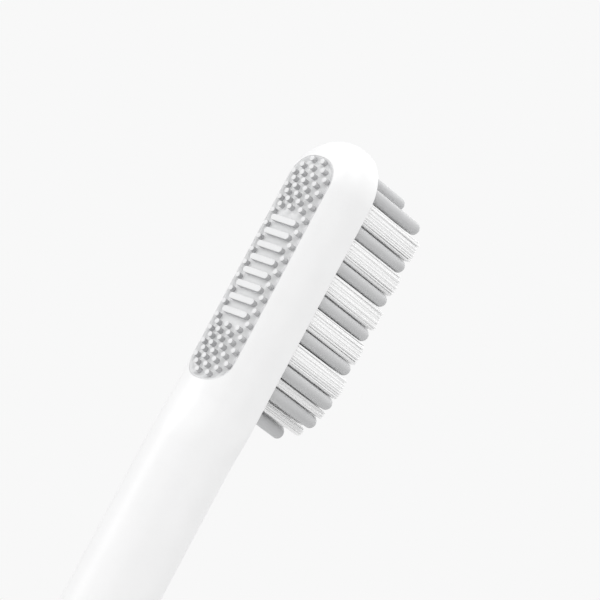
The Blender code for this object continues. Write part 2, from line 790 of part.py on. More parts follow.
# Motor: rubber sleeve, can, end cap, shaft and eccentric weight
turned_piece("motor_sleeve", tube_outline(motor_sleeve_radius, motor_sleeve_bore, motor_bottom, motor_top),
             black_rubber, drive_module, closed=True)
shaft_bore = shaft_radius + shaft_running_gap
shaft_bottom = motor_top - shaft_depth_in_motor
boss_top = motor_top + motor_boss_height
can_outline = [(shaft_bore, boss_top), (motor_boss_radius, boss_top), (motor_boss_radius, motor_top),
               (motor_radius, motor_top), (motor_radius, motor_bottom), (0.0, motor_bottom),
               (0.0, shaft_bottom - seat_gap), (shaft_bore, shaft_bottom - seat_gap)]
turned_piece("motor_can", can_outline, steel, drive_module, closed=True, segments=inner_segments)
turned_piece("motor_end_cap", rod_outline(motor_radius, motor_cap_bottom, motor_bottom - seat_gap),
             natural_plastic, drive_module, segments=inner_segments)
turned_piece("motor_shaft", rod_outline(shaft_radius, shaft_bottom, motor_top + shaft_rise), steel, rotor,
             segments=small_segments)
weight_radius = spigot_bore - weight_clearance
weight_top = weight_bottom + weight_length
eccentric_weight = turned_piece("eccentric_weight", rod_outline(weight_radius, weight_bottom, weight_top),
                                tungsten, rotor, segments=inner_segments)
weight_side = tool("weight_side", box_mesh("weight_side",
                                           (-neck_radius, 0.0, weight_bottom - weight_clearance),
                                           (neck_radius, neck_radius, weight_top + weight_clearance)))
weight_hub = turned_tool("weight_hub", rod_outline(weight_hub_radius, weight_bottom, weight_top),
                         segments=small_segments)
weight_bore = turned_tool("weight_bore", rod_outline(shaft_bore, weight_bottom - weight_clearance,
                                                     weight_top + weight_clearance), segments=small_segments)
combine(eccentric_weight, weight_side, "DIFFERENCE")
combine(eccentric_weight, weight_hub, "UNION")
combine(eccentric_weight, weight_bore, "DIFFERENCE")

# Motor leads, from midway between the switch and the board's top to the end cap
lead_front = board_front + seat_gap + lead_radius
lead_root_z = board_top_z - lead_root_share * (board_top_z - button_z - switch_side / 2.0)
for side, lead_name, lead_colour in ((-1.0, "motor_lead_left", wire_black),
                                     (1.0, "motor_lead_right", wire_red)):
    lead_start = Vector((side * lead_aside, -lead_front, lead_root_z))
    lead_end = Vector((side * lead_aside, 0.0, motor_cap_bottom - seat_gap))
    upwards = Vector((0.0, 0.0, lead_pull))
    lead_points = []
    for step in range(lead_steps + 1):
        share = step / lead_steps
        rest = 1.0 - share
        lead_points.append(rest ** 3 * lead_start + 3.0 * rest ** 2 * share * (lead_start + upwards)
                           + 3.0 * rest * share ** 2 * (lead_end - upwards) + share ** 3 * lead_end)
    piece(lead_name, wire_mesh(lead_name, lead_points, lead_radius), lead_colour, drive_module)


def head_sizes(z, inset):
    """Half width, crown, roundness and share of the flat-faced form, for the head at a height."""
    morph = smooth_share((z - morph_bottom_z) / head_morph_length)
    radius = outer_radius(z)
    half_width = radius + (head_half_width - radius) * morph - inset
    crown = radius + (head_crown - radius) * morph - inset
    power = head_round_power + (head_crown_power - head_round_power) * morph
    return half_width, crown, power, morph


def cap_share(z, length, inset):
    """How much of the head is left at a height in its round tip, which begins at a length from its end."""
    into_cap = (z - (tip_z - length)) / (length - inset)
    return math.sqrt(max(0.0, 1.0 - max(0.0, into_cap) ** 2))


def face_half(half_width, inset):
    """Right half of the head's front, from its side round the edge to the middle of the flat face."""
    face = head_face - inset
    edge_x = half_width - head_face_lean
    flat_x = edge_x - head_face_edge
    points = [(edge_x + head_face_lean / 2.0, -(face - head_face_edge) / 2.0)]
    for step in range(edge_steps + 1):
        angle = 0.5 * math.pi * step / edge_steps
        points.append((flat_x + head_face_edge * math.cos(angle),
                       -(face - head_face_edge) - head_face_edge * math.sin(angle)))
    for step in range(1, face_steps + 1):
        points.append((flat_x * (1.0 - step / face_steps), -face))
    return points


def head_section(z, inset):
    """Points round the head's section at a height, from its right side over the back."""
    half_width, crown, power, morph = head_sizes(z, inset)
    radius = outer_radius(z) - inset
    points = []
    for step in range(crown_steps + 1):
        angle = math.pi * step / crown_steps
        cosine = math.cos(angle)
        x = math.copysign(half_width * abs(cosine) ** (2.0 / power), cosine)
        points.append((x, crown * max(0.0, math.sin(angle)) ** (2.0 / power)))
    flat = face_half(half_width, inset)
    front = []
    for index, (flat_x, flat_y) in enumerate(flat):
        angle = 0.5 * math.pi * (index + 1) / len(flat)
        round_x = radius * math.cos(angle)
        round_y = -radius * math.sin(angle)
        front.append((round_x + (flat_x - round_x) * morph, round_y + (flat_y - round_y) * morph))
    return points + [(-x, y) for x, y in front] + list(reversed(front[:-1]))


def capped(x, y, z, inset):
    """Draw a section's point in towards the tip's centre."""
    side_share = cap_share(z, cap_side_length, inset)
    depth_share = cap_share(z, cap_back_length, inset) if y > cap_centre_y else side_share ** cap_face_power
    return x * side_share, cap_centre_y + (y - cap_centre_y) * depth_share


def crown_y(x, z, inset):
    """How far back the crown lies at a place on the head."""
    half_width, crown, power, _ = head_sizes(z, inset)
    across = min(1.0, abs(x) / (half_width * cap_share(z, cap_side_length, inset)))
    return capped(0.0, crown * (1.0 - across ** power) ** (1.0 / power), z, inset)[1]


def head_loft(name, inset=0.0):
    """The outside of the brush head, lofted through its sections and closed at both ends."""
    heights = [head_bottom + taper_into_head * step / flank_steps for step in range(flank_steps + 1)]
    heights += [morph_bottom_z + head_morph_length * step / morph_rings for step in range(morph_rings + 1)]
    cap_rise = cap_back_length - inset
    heights += [tip_z - cap_back_length + cap_rise * math.sin(0.5 * math.pi * step / cap_rings)
                for step in range(cap_rings)]
    shape = bmesh.new()
    rings = []
    for z in heights:
        section = [capped(x, y, z, inset) for x, y in head_section(z, inset)]
        rings.append([shape.verts.new((x, y, z)) for x, y in section])
    for lower, upper in zip(rings, rings[1:]):
        for index, corner in enumerate(lower):
            after = (index + 1) % len(lower)
            shape.faces.new((corner, lower[after], upper[after], upper[index]))
    shape.faces.new(list(reversed(rings[0])))
    tip = shape.verts.new((0.0, cap_centre_y, tip_z - inset))
    top = rings[-1]
    for index, corner in enumerate(top):
        shape.faces.new((corner, top[(index + 1) % len(top)], tip))
    bmesh.ops.recalc_face_normals(shape, faces=shape.faces)
    mesh = bpy.data.meshes.new(name)
    shape.to_mesh(mesh)
    shape.free()
    mesh.shade_smooth()
    mesh.set_sharp_from_angle(angle=sharp_angle)
    return mesh


# Brush head shell, with its bores and the pockets for the pad, the plate and the web
brush_head_shell = piece("brush_head_shell", head_loft("brush_head_shell"), white_plastic, brush_head)
coupling_bottom = head_bottom + coupling_inset
coupling_top = coupling_bottom + coupling_length
coupling_seat_top = coupling_top + seat_gap
head_bore = turned_tool("head_bore", [
    (0.0, head_bore_top), (coupling_bore, head_bore_top), (coupling_bore, coupling_seat_top),
    (neck_bore, coupling_seat_top), (neck_bore, head_bottom - cut_overrun), (0.0, head_bottom - cut_overrun)])
pad_floor = head_crown - pad_recess - pad_depth
pad_pocket = tool("pad_pocket", stadium_prism("pad_pocket", pad_half_width, pad_bottom_z, pad_top_z,
                                              -body_radius, -(pad_floor - seat_gap), pad_end_power))
plate_top_z = field_top_z + finger_margin
plate_bottom_z = field_bottom_z - finger_margin
pocket_half_width = plate_half_width + seat_gap
plate_pocket = tool("plate_pocket", stadium_prism("plate_pocket", pocket_half_width,
                    plate_bottom_z - seat_gap, plate_top_z + seat_gap, plate_back - seat_gap,
                    head_face + finger_height))
web_pocket = tool("web_pocket", stadium_prism("web_pocket", web_half_width + seat_gap,
                  plate_bottom_z + web_margin - seat_gap, plate_top_z - web_margin + seat_gap,
                  web_back - seat_gap, head_face + finger_height))
for shape in (head_bore, pad_pocket, plate_pocket, web_pocket):
    combine(brush_head_shell, shape, "DIFFERENCE")

# Coupling sleeve and joint ring
turned_piece("coupling_sleeve", tube_outline(coupling_radius, coupling_bore, coupling_bottom, coupling_top),
             natural_plastic, brush_head, closed=True)
ring_top = ring_bottom + joint_ring_height
joint_ring_outline = flank(ring_top, ring_bottom, 1)
joint_ring_outline += [(coupling_bore, ring_bottom), (coupling_bore, ring_top)]
turned_piece("joint_ring", joint_ring_outline, grey_rubber, brush_head, closed=True)

# Rubber pad: a stadium that follows the crown, with staggered dots and a middle of plain ribs
pad_slab = stadium_prism("tongue_pad", pad_half_width - seat_gap, pad_bottom_z + seat_gap,
                         pad_top_z - seat_gap, -body_radius, -pad_floor, pad_end_power)
tongue_pad = piece("tongue_pad", pad_slab, grey_rubber, brush_head)
pad_surface = tool("pad_surface", head_loft("pad_surface", pad_recess))
combine(tongue_pad, pad_surface, "INTERSECT")
pad_middle_z = (pad_top_z + pad_bottom_z) / 2.0
round_end = pad_half_width - dot_radius - dot_edge_margin
straight_half = pad_length / 2.0 - pad_half_width
rib_zone_half = pad_length / 2.0 - rib_zone_from_end
dots = bmesh.new()
columns = int(round_end / dot_spacing_across)
rows = int(pad_length / 2.0 / dot_spacing_along)
for column in range(-columns, columns + 1):
    for row in range(-rows, rows + 1):
        if (column + row) % 2 == 0:
            continue
        x = column * dot_spacing_across
        along = row * dot_spacing_along
        beyond = max(0.0, abs(along) - straight_half)
        outside = math.hypot(x, beyond) > round_end
        in_ribs = abs(column) < columns and abs(along) < rib_zone_half
        if outside or in_ribs:
            continue
        z = pad_middle_z + along
        top = crown_y(x, z, pad_recess) + dot_height
        root = pad_floor + pad_depth / 2.0
        bmesh.ops.create_cone(dots, cap_ends=True, segments=dot_segments, radius1=dot_radius,
                              radius2=dot_radius, depth=top - root,
                              matrix=facing_front_at(x, -(top + root) / 2.0, z))
rib_pitch = 2.0 * dot_spacing_along
rib_count = int(2.0 * (rib_zone_half - dot_spacing_along) / rib_pitch)
for index in range(rib_count + 1):
    z = pad_middle_z + (index - rib_count / 2.0) * rib_pitch
    low = pad_floor + pad_depth / 2.0
    high = crown_y(rib_half_length, z, pad_recess) + rib_height
    block = bmesh.ops.create_cube(dots, size=1.0)["verts"]
    bmesh.ops.scale(dots, vec=(2.0 * rib_half_length, high - low, 2.0 * rib_half_width), verts=block)
    bmesh.ops.translate(dots, vec=(0.0, (low + high) / 2.0, z), verts=block)
dot_mesh = bpy.data.meshes.new("pad_dots")
dots.to_mesh(dot_mesh)
dots.free()
combine(tongue_pad, tool("pad_dots", dot_mesh), "UNION")

# Where the fingers and the tufts stand: x, z and, for a tuft, its radius
finger_places = []
for x_share, z_share in finger_place_shares:
    for side in ((-1.0, 1.0) if x_share else (1.0,)):
        height = finger_height if x_share else end_finger_height
        finger_places.append((side * x_share * finger_column, field_top_z - z_share * field_length, height))
tuft_places = []
for x_share, z_share, radius_share in tuft_place_shares:
    for side in ((-1.0, 1.0) if x_share else (1.0,)):
        tuft_places.append((side * x_share * finger_column, field_top_z - z_share * field_length,
                            radius_share * tuft_radius))

# Soft fingers: round-ended rods on one web, each with a thin shank through the plate
web_slab = stadium_prism("soft_fingers", web_half_width, plate_bottom_z + web_margin,
                         plate_top_z - web_margin, web_back, web_front)
soft_fingers = piece("soft_fingers", web_slab, grey_rubber, brush_head)
rods = bmesh.new()
shank_end = (web_front + web_back) / 2.0
for x, z, height in finger_places:
    profile = rounded_rod_outline(finger_radius, finger_shoulder, head_face + height, finger_radius,
                                  finger_end_steps)[:-1]
    profile += [(finger_shank_radius, finger_shoulder), (finger_shank_radius, shank_end), (0.0, shank_end)]
    line = [rods.verts.new((x + radius, -along, z)) for radius, along in profile]
    edges = [rods.edges.new(pair) for pair in zip(line, line[1:])]
    bmesh.ops.spin(rods, geom=line + edges, cent=(x, 0.0, z), axis=(0.0, 1.0, 0.0), dvec=(0.0, 0.0, 0.0),
                   angle=2.0 * math.pi, steps=finger_segments, use_merge=True)
bmesh.ops.remove_doubles(rods, verts=rods.verts, dist=weld_distance)
bmesh.ops.recalc_face_normals(rods, faces=rods.faces)
rod_mesh = bpy.data.meshes.new("finger_rods")
rods.to_mesh(rod_mesh)
rods.free()
combine(soft_fingers, tool("finger_rods", rod_mesh), "UNION")

# Bristle field: the slice of the head that carries the tufts, with its strands fused to it
plate_slab = stadium_prism("bristle_field", plate_half_width, plate_bottom_z, plate_top_z, plate_back,
                           head_face + finger_height)
bristle_field = piece("bristle_field", plate_slab, bristle_white, brush_head)
plate_surface = tool("plate_surface", head_loft("plate_surface", plate_sink))
combine(bristle_field, plate_surface, "INTERSECT")
shanks = bmesh.new()
shank_hole_radius = finger_shank_radius + seat_gap
for x, z, _ in finger_places:
    bmesh.ops.create_cone(shanks, cap_ends=True, segments=finger_segments, radius1=shank_hole_radius,
                          radius2=shank_hole_radius, depth=2.0 * (plate_thickness + cut_overrun),
                          matrix=facing_front_at(x, head_face, z))
shank_mesh = bpy.data.meshes.new("shank_holes")
shanks.to_mesh(shank_mesh)
shanks.free()
combine(bristle_field, tool("shank_holes", shank_mesh), "DIFFERENCE")
golden_angle = math.pi * (3.0 - math.sqrt(5.0))
strands = bmesh.new()
strand_total = 0
for x, z, radius in tuft_places:
    count = max(least_strands, round(strands_a_tuft * (radius / tuft_radius) ** 2))
    strand_total += count
    for index in range(count):
        away = (radius - strand_radius) * math.sqrt((index + 0.5) / count)
        angle = golden_angle * index
        outwards = Vector((math.cos(angle), 0.0, math.sin(angle))) * away
        root = Vector((x, -(head_face - plate_thickness / 2.0), z)) + outwards
        end = root + outwards * strand_splay_share
        end.y = -(head_face + strand_height)
        along = end - root
        stand = Matrix.Translation((root + end) / 2.0) @ along.to_track_quat("Z", "X").to_matrix().to_4x4()
        bmesh.ops.create_cone(strands, cap_ends=True, segments=strand_segments, radius1=strand_radius,
                              radius2=strand_radius * strand_tip_share, depth=along.length, matrix=stand)
print("bristle strands:", strand_total)
strand_mesh = bpy.data.meshes.new("strands")
strands.to_mesh(strand_mesh)
strands.free()
combine(bristle_field, tool("strands", strand_mesh), "UNION")
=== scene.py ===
"""Looks of a slim battery toothbrush, built round its solids.

+Z runs up the handle to the tip of the brush head, +Y points to the back of the head, with
its rubber pad, and -Y to the bristles and the button. All sizes are in metres.
"""
import math

import bmesh
import bpy
from mathutils import Matrix, Quaternion, Vector


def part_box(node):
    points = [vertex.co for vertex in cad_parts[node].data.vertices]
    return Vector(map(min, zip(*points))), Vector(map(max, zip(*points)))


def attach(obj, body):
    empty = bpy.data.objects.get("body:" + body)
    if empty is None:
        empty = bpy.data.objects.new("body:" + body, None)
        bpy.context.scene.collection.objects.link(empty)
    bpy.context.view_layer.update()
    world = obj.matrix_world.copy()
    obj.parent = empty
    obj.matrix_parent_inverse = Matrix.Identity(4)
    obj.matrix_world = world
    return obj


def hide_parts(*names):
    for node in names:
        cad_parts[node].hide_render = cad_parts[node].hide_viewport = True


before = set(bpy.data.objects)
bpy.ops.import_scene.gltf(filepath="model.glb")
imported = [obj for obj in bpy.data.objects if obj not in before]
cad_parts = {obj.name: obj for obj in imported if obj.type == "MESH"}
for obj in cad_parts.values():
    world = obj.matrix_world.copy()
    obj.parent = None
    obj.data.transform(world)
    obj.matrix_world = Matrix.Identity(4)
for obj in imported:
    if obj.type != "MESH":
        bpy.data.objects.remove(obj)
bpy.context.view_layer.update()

# Foot: a cap of soft light grey rubber, moulded in one with the plug that closes the bottom
# of the casing tube. It is pushed in from below and held by its own squeeze.
fit_gap = 0.00015
casing_wall = 0.0014
foot_low, foot_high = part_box("base_cap")
casing_low, casing_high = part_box("handle_shell")
body_radius = casing_high.x
foot_plug_radius = body_radius - casing_wall - fit_gap
foot_flange_top = casing_low.z - fit_gap
foot_edge = 0.0009
foot_gate_radius = 0.0012
foot_gate_depth = 0.0002
fine_edge = 0.00012
weld_distance = 0.00000015
sharp_angle = math.radians(38.0)
rubber_grey = (0.755, 0.758, 0.762)


def eased(corners, steps=6):
    """Round each corner (radius, height, edge) of an outline to an arc of its edge's radius."""
    outline = []
    for index, (radius, height, edge) in enumerate(corners):
        corner = Vector((radius, height))
        if edge == 0.0:
            outline.append((radius, height))
            continue
        before = (Vector(corners[index - 1][:2]) - corner).normalized()
        after = (Vector(corners[(index + 1) % len(corners)][:2]) - corner).normalized()
        half_turn = before.angle(after) / 2.0
        centre = corner + (before + after).normalized() * edge / math.sin(half_turn)
        first = corner + before * edge / math.tan(half_turn) - centre
        last = corner + after * edge / math.tan(half_turn) - centre
        for step in range(steps + 1):
            outline.append(tuple(centre + first.lerp(last, step / steps).normalized() * edge))
    return outline


def plain_mesh(name, shape):
    """A mesh of a shape as it is, after which the shape is freed."""
    mesh = bpy.data.meshes.new(name)
    shape.to_mesh(mesh)
    shape.free()
    return mesh


def closed_mesh(name, shape):
    """Weld a shape, turn its faces outwards and make it a smooth mesh with crisp edges."""
    bmesh.ops.remove_doubles(shape, verts=shape.verts, dist=weld_distance)
    bmesh.ops.recalc_face_normals(shape, faces=shape.faces)
    mesh = plain_mesh(name, shape)
    mesh.shade_smooth()
    mesh.set_sharp_from_angle(angle=sharp_angle)
    return mesh


def turned_mesh(name, outline, segments=96):
    """A mesh turned about Z from an outline of (radius, height), closed on the axis or on itself."""
    shape = bmesh.new()
    rings = []
    for radius, height in outline:
        count = segments if radius > 0.0 else 1
        turns = [2.0 * math.pi * step / count for step in range(count)]
        rings.append([shape.verts.new((radius * math.cos(turn), radius * math.sin(turn), height))
                      for turn in turns])
    pairs = list(zip(rings, rings[1:]))
    if outline[0][0] > 0.0:
        pairs.append((rings[-1], rings[0]))
    for upper, lower in pairs:
        for index in range(segments):
            corners = [upper[index % len(upper)], upper[(index + 1) % len(upper)],
                       lower[(index + 1) % len(lower)], lower[index % len(lower)]]
            shape.faces.new(list(dict.fromkeys(corners)))
    return closed_mesh(name, shape)


def node_group(name, kind, inputs, outputs):
    """A node group with named sockets of the given kinds, and the sockets on its inside."""
    group = bpy.data.node_groups.new(name, kind)
    for direction, sockets in (("INPUT", inputs), ("OUTPUT", outputs)):
        for title, socket_kind in sockets.items():
            group.interface.new_socket(title, in_out=direction, socket_type="NodeSocket" + socket_kind)
    return group, group.nodes.new("NodeGroupInput").outputs, group.nodes.new("NodeGroupOutput").inputs


def add_node(tree, kind, feeds, **options):
    """Add a node with its options, and feed its inputs with nodes, sockets or plain values."""
    made = tree.nodes.new(kind)
    for option, value in options.items():
        setattr(made, option, value)
    for socket, feed in feeds.items():
        if isinstance(feed, bpy.types.Node):
            feed = feed.outputs[0]
        if isinstance(feed, bpy.types.NodeSocket):
            tree.links.new(feed, made.inputs[socket])
        else:
            made.inputs[socket].default_value = feed
    return made


skin_group, skin_in, skin_out = node_group(
    "moulded_skin", "ShaderNodeTree",
    {"Place": "Vector", "Grains a metre": "Float", "Clouds a metre": "Float"},
    {"Grain": "Float", "Clouds": "Float"})
skin_grain = add_node(skin_group, "ShaderNodeTexNoise", {
    "Vector": skin_in["Place"], "Scale": skin_in["Grains a metre"], "Detail": 3.0})
skin_clouds = add_node(skin_group, "ShaderNodeTexNoise", {
    "Vector": skin_in["Place"], "Scale": skin_in["Clouds a metre"], "Detail": 2.0})
skin_group.links.new(skin_grain.outputs[0], skin_out["Grain"])
skin_group.links.new(skin_clouds.outputs[0], skin_out["Clouds"])


def two_tone(tree, factor, low_colour, high_colour, low=0.35, high=0.65):
    """A ramp from one colour to another over the middle of a pattern's range."""
    ramp = add_node(tree, "ShaderNodeValToRGB", {"Fac": factor})
    for element, place, colour in zip(ramp.color_ramp.elements, (low, high), (low_colour, high_colour)):
        element.position = place
        element.color = (*colour, 1.0)
    return ramp.outputs["Color"]


def moulded(name, colour, roughness, grain_size=0.00016, grain_depth=0.000003, cloud_size=0.004,
            shade=0.97, roughness_spread=0.08, sockets=None):
    """A finish with a fine grain in its gloss and surface, and a faint clouding of its colour."""
    made = bpy.data.materials.new(name)
    made.use_nodes = True
    tree = made.node_tree
    shader = tree.nodes["Principled BSDF"]
    place = tree.nodes.new("ShaderNodeTexCoord").outputs["Object"]
    skin = add_node(tree, "ShaderNodeGroup", {
        "Place": place, "Grains a metre": 1.0 / grain_size, "Clouds a metre": 1.0 / cloud_size},
        node_tree=skin_group)
    tint = two_tone(tree, skin.outputs["Clouds"], [part * shade for part in colour], colour)
    gloss = add_node(tree, "ShaderNodeMapRange", {
        "Value": skin.outputs["Grain"], "From Min": 0.3, "From Max": 0.7,
        "To Min": roughness - roughness_spread, "To Max": roughness + roughness_spread})
    relief = add_node(tree, "ShaderNodeBump", {"Height": skin.outputs["Grain"], "Distance": grain_depth})
    tree.links.new(tint, shader.inputs["Base Color"])
    tree.links.new(gloss.outputs[0], shader.inputs["Roughness"])
    tree.links.new(relief.outputs[0], shader.inputs["Normal"])
    for title, value in (sockets or {}).items():
        shader.inputs[title].default_value = value
    return made


def placed(name, data):
    """A new object in the scene."""
    made = bpy.data.objects.new(name, data)
    bpy.context.scene.collection.objects.link(made)
    return made


def finished(name, mesh, material, body, slot, *nodes):
    """Hang a finished mesh on its body, in place of the solids that it stands for."""
    mesh.materials.clear()
    mesh.materials.append(material)
    made = placed(name, mesh)
    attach(made, body)
    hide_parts(*nodes)


def turned_piece(name, outline, material, body, slot, node, segments=96):
    """Hang a piece turned about Z on its body, in place of its solid."""
    finished(name, turned_mesh(name, outline, segments), material, body, slot, node)


grey_rubber = moulded("soft_grey_rubber", rubber_grey, roughness=0.62, grain_size=0.00012,
                      grain_depth=0.000006, shade=0.955)
foot_outline = eased([
    (0.0, foot_high.z, 0.0), (foot_plug_radius, foot_high.z, foot_edge / 2.0),
    (foot_plug_radius, foot_flange_top, fine_edge / 2.0), (body_radius, foot_flange_top, fine_edge),
    (body_radius, foot_low.z, foot_edge), (foot_gate_radius, foot_low.z, fine_edge),
    (foot_gate_radius - foot_gate_depth, foot_low.z + foot_gate_depth, fine_edge / 2.0),
    (0.0, foot_low.z + foot_gate_depth, 0.0)])
turned_piece("foot", foot_outline, grey_rubber, "handle", "grey_rubber", "base_cap")

# Casing tube: the lower part of the handle, a plain round tube of satin white plastic. It is
# moulded over a core, straight inside, and its top draws in towards the neck.
neck_radius = 0.005175
head_low, head_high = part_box("brush_head_shell")
taper_below_joint = 0.010
taper_into_head = 0.009
taper_bottom = casing_high.z - taper_below_joint
taper_top = head_low.z + taper_into_head
plastic_white = (0.92, 0.92, 0.922)


def smooth_share(share):
    """An even ease from 0 to 1."""
    share = min(1.0, max(0.0, share))
    return share * share * (3.0 - 2.0 * share)


def outer_radius(z):
    """Radius of the toothbrush's round outside at a height."""
    share = smooth_share((z - taper_bottom) / (taper_top - taper_bottom))
    return body_radius + (neck_radius - body_radius) * share


def flank(top, bottom, inset=0.0, steps=24):
    """Plain corners down the round outside between two heights, without their ends."""
    heights = [top + (bottom - top) * step / steps for step in range(1, steps)]
    return [(outer_radius(height) - inset, height, 0.0) for height in heights]


white_plastic = moulded("satin_white_plastic", plastic_white, roughness=0.40, shade=0.985)
casing_bore = body_radius - casing_wall
casing_outline = eased([
    (outer_radius(casing_high.z), casing_high.z, fine_edge), *flank(casing_high.z, taper_bottom),
    (body_radius, taper_bottom, 0.0), (body_radius, casing_low.z, fine_edge),
    (casing_bore, casing_low.z, fine_edge), (casing_bore, casing_high.z, fine_edge)])
turned_piece("casing_tube", casing_outline, white_plastic, "handle", "white_plastic", "handle_shell")

# Frame: the cradle for the cell, the board's spine and the collar, moulded as one long piece
# of dark grey plastic. It slides in the casing tube and carries everything inside.


def dressed(node, material):
    """Give one of the frame's own solids its finish."""
    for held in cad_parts[node].material_slots:
        held.material = material


dressed("chassis", moulded("dark_frame_plastic", colour=(0.105, 0.11, 0.12), roughness=0.50, shade=0.88))

# Seal: a ring of black rubber, pressed into the collar's groove, that keeps water out of the
# casing. It is a plain ring of round section.
seal_low, seal_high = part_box("sealing_ring")
seal_section = (seal_high.z - seal_low.z) / 2.0
seal_middle = (seal_high.z + seal_low.z) / 2.0
seal_steps = 20
seal_outline = []
for step in range(seal_steps):
    turn = -2.0 * math.pi * step / seal_steps
    seal_outline.append((seal_high.x - seal_section + seal_section * math.cos(turn),
                         seal_middle + seal_section * math.sin(turn)))
black_rubber = moulded("black_rubber", colour=(0.030, 0.030, 0.032), roughness=0.60, shade=0.8)
turned_piece("seal", seal_outline, black_rubber, "drive_module", "black_rubber", "sealing_ring")

# Battery: one small round cell, a steel can in a shrunk plastic wrap that is left plain. It
# lies in the cradle, between the spring and the upper contact.
cell_low, cell_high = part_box("battery_cell")
cell_radius = cell_high.x
cell_nub_radius = 0.0019
cell_nub_height = 0.0009
cell_edge = 0.0004
wrap_thickness = 0.0001
wrap_lap = 0.0011
wrap_edge = wrap_thickness / 3.0
cell_shoulder = cell_high.z - cell_nub_height
bright_steel = moulded("bright_steel", colour=(0.60, 0.60, 0.61), roughness=0.26, grain_size=0.0003,
                       grain_depth=0.0000008, shade=0.9, sockets={"Metallic": 1.0})
cell_wrap = moulded("plain_cell_wrap", colour=(0.16, 0.20, 0.25), roughness=0.33, shade=0.9,
                    sockets={"Coat Weight": 0.35})
can_outline = eased([
    (0.0, cell_high.z, 0.0), (cell_nub_radius, cell_high.z, cell_edge),
    (cell_nub_radius, cell_shoulder - wrap_thickness, fine_edge),
    (cell_radius - wrap_thickness, cell_shoulder - wrap_thickness, cell_edge),
    (cell_radius - wrap_thickness, cell_low.z + wrap_thickness, cell_edge),
    (cell_nub_radius * 2.0, cell_low.z, fine_edge), (0.0, cell_low.z, 0.0)])
turned_piece("cell_can", can_outline, bright_steel, "drive_module", "steel", "battery_cell")
wrap_outline = eased([
    (cell_radius - wrap_lap, cell_shoulder, wrap_edge), (cell_radius, cell_shoulder, cell_edge),
    (cell_radius, cell_low.z + wrap_thickness, cell_edge), (cell_radius - wrap_lap, cell_low.z, wrap_edge),
    (cell_radius - wrap_lap, cell_low.z + wrap_thickness, wrap_edge),
    (cell_radius - wrap_thickness, cell_low.z + 2.0 * wrap_thickness, cell_edge / 2.0),
    (cell_radius - wrap_thickness, cell_shoulder - wrap_thickness, cell_edge / 2.0),
    (cell_radius - wrap_lap, cell_shoulder - wrap_thickness, wrap_edge)])
turned_piece("cell_wrap", wrap_outline, cell_wrap, "drive_module", "cell_wrap", "battery_cell")

# Contacts: strips stamped from nickel plated spring steel and bent to shape. One runs under
# the spring and up the frame, the other over the cell's nub, and both end on the board.
spring_steel = moulded("nickel_plated_spring_steel", colour=(0.68, 0.66, 0.61), roughness=0.24,
                       grain_size=0.0004, grain_depth=0.0000008, shade=0.92, sockets={"Metallic": 1.0})
dressed("negative_contact_strip", spring_steel)
dressed("positive_contact", spring_steel)

# Battery spring: a coil of spring wire with closed ends, wound in one length. It stands on
# the lower contact and pushes the cell up.
spring_low, spring_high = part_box("battery_spring")
spring_wire = 0.0003
spring_turns = 5.0
spring_closed_share = 0.16
spring_radius = (spring_high.x - spring_low.x) / 2.0 - spring_wire
spring_end_wires = 4.0


def mesh_tree(name, inputs):
    """An empty tree of nodes that takes a mesh and named inputs, and gives a mesh."""
    return node_group(name, "GeometryNodeTree", {"Geometry": "Geometry", **inputs}, {"Geometry": "Geometry"})


def end_tree(tree, made, finish, outlet):
    """End a tree of nodes in real faces, with their material set."""
    real = add_node(tree, "GeometryNodeRealizeInstances", {"Geometry": made})
    coated = add_node(tree, "GeometryNodeSetMaterial", {"Geometry": real, "Material": finish})
    tree.links.new(coated.outputs[0], outlet["Geometry"])


def sums_in(tree):
    """A way to write sums on sockets or plain numbers in a tree of nodes."""
    def result_of(operation, *values):
        return add_node(tree, "ShaderNodeMath", dict(enumerate(values)), operation=operation).outputs[0]
    return result_of


coil_group, coil_in, coil_out = mesh_tree("coil_spring", {
    "Radius": "Float", "Height": "Float", "Wire": "Float", "Turns": "Float", "Closed share": "Float",
    "Points": "Int", "Finish": "Material"})
coil_sum = sums_in(coil_group)
coil_line = add_node(coil_group, "GeometryNodeCurvePrimitiveLine", {})
coil_points = add_node(coil_group, "GeometryNodeResampleCurve", {
    "Curve": coil_line, "Count": coil_in["Points"]})
coil_share = coil_group.nodes.new("GeometryNodeSplineParameter").outputs["Factor"]
coil_turn = coil_sum("MULTIPLY", coil_sum("MULTIPLY", coil_share, coil_in["Turns"]), 2.0 * math.pi)
coil_open = add_node(coil_group, "ShaderNodeMapRange", {
    "Value": coil_share, "From Min": coil_in["Closed share"],
    "From Max": coil_sum("SUBTRACT", 1.0, coil_in["Closed share"])},
    interpolation_type="SMOOTHSTEP").outputs[0]
coil_lift = coil_sum("MULTIPLY", coil_sum("MULTIPLY", coil_share, 2.0), coil_in["Wire"])
coil_rise = coil_sum("MULTIPLY", coil_open, coil_sum(
    "MULTIPLY_ADD", coil_in["Wire"], -spring_end_wires, coil_in["Height"]))
coil_place = add_node(coil_group, "ShaderNodeCombineXYZ", {
    "X": coil_sum("MULTIPLY", coil_sum("COSINE", coil_turn), coil_in["Radius"]),
    "Y": coil_sum("MULTIPLY", coil_sum("SINE", coil_turn), coil_in["Radius"]),
    "Z": coil_sum("ADD", coil_sum("ADD", coil_lift, coil_rise), coil_in["Wire"])})
coil_bent = add_node(coil_group, "GeometryNodeSetPosition", {
    "Geometry": coil_points, "Position": coil_place})
coil_section = add_node(coil_group, "GeometryNodeCurvePrimitiveCircle", {
    "Resolution": 10, "Radius": coil_in["Wire"]})
coil_wire = add_node(coil_group, "GeometryNodeCurveToMesh", {
    "Curve": coil_bent, "Profile Curve": coil_section, "Fill Caps": True})
end_tree(coil_group, coil_wire, coil_in["Finish"], coil_out)


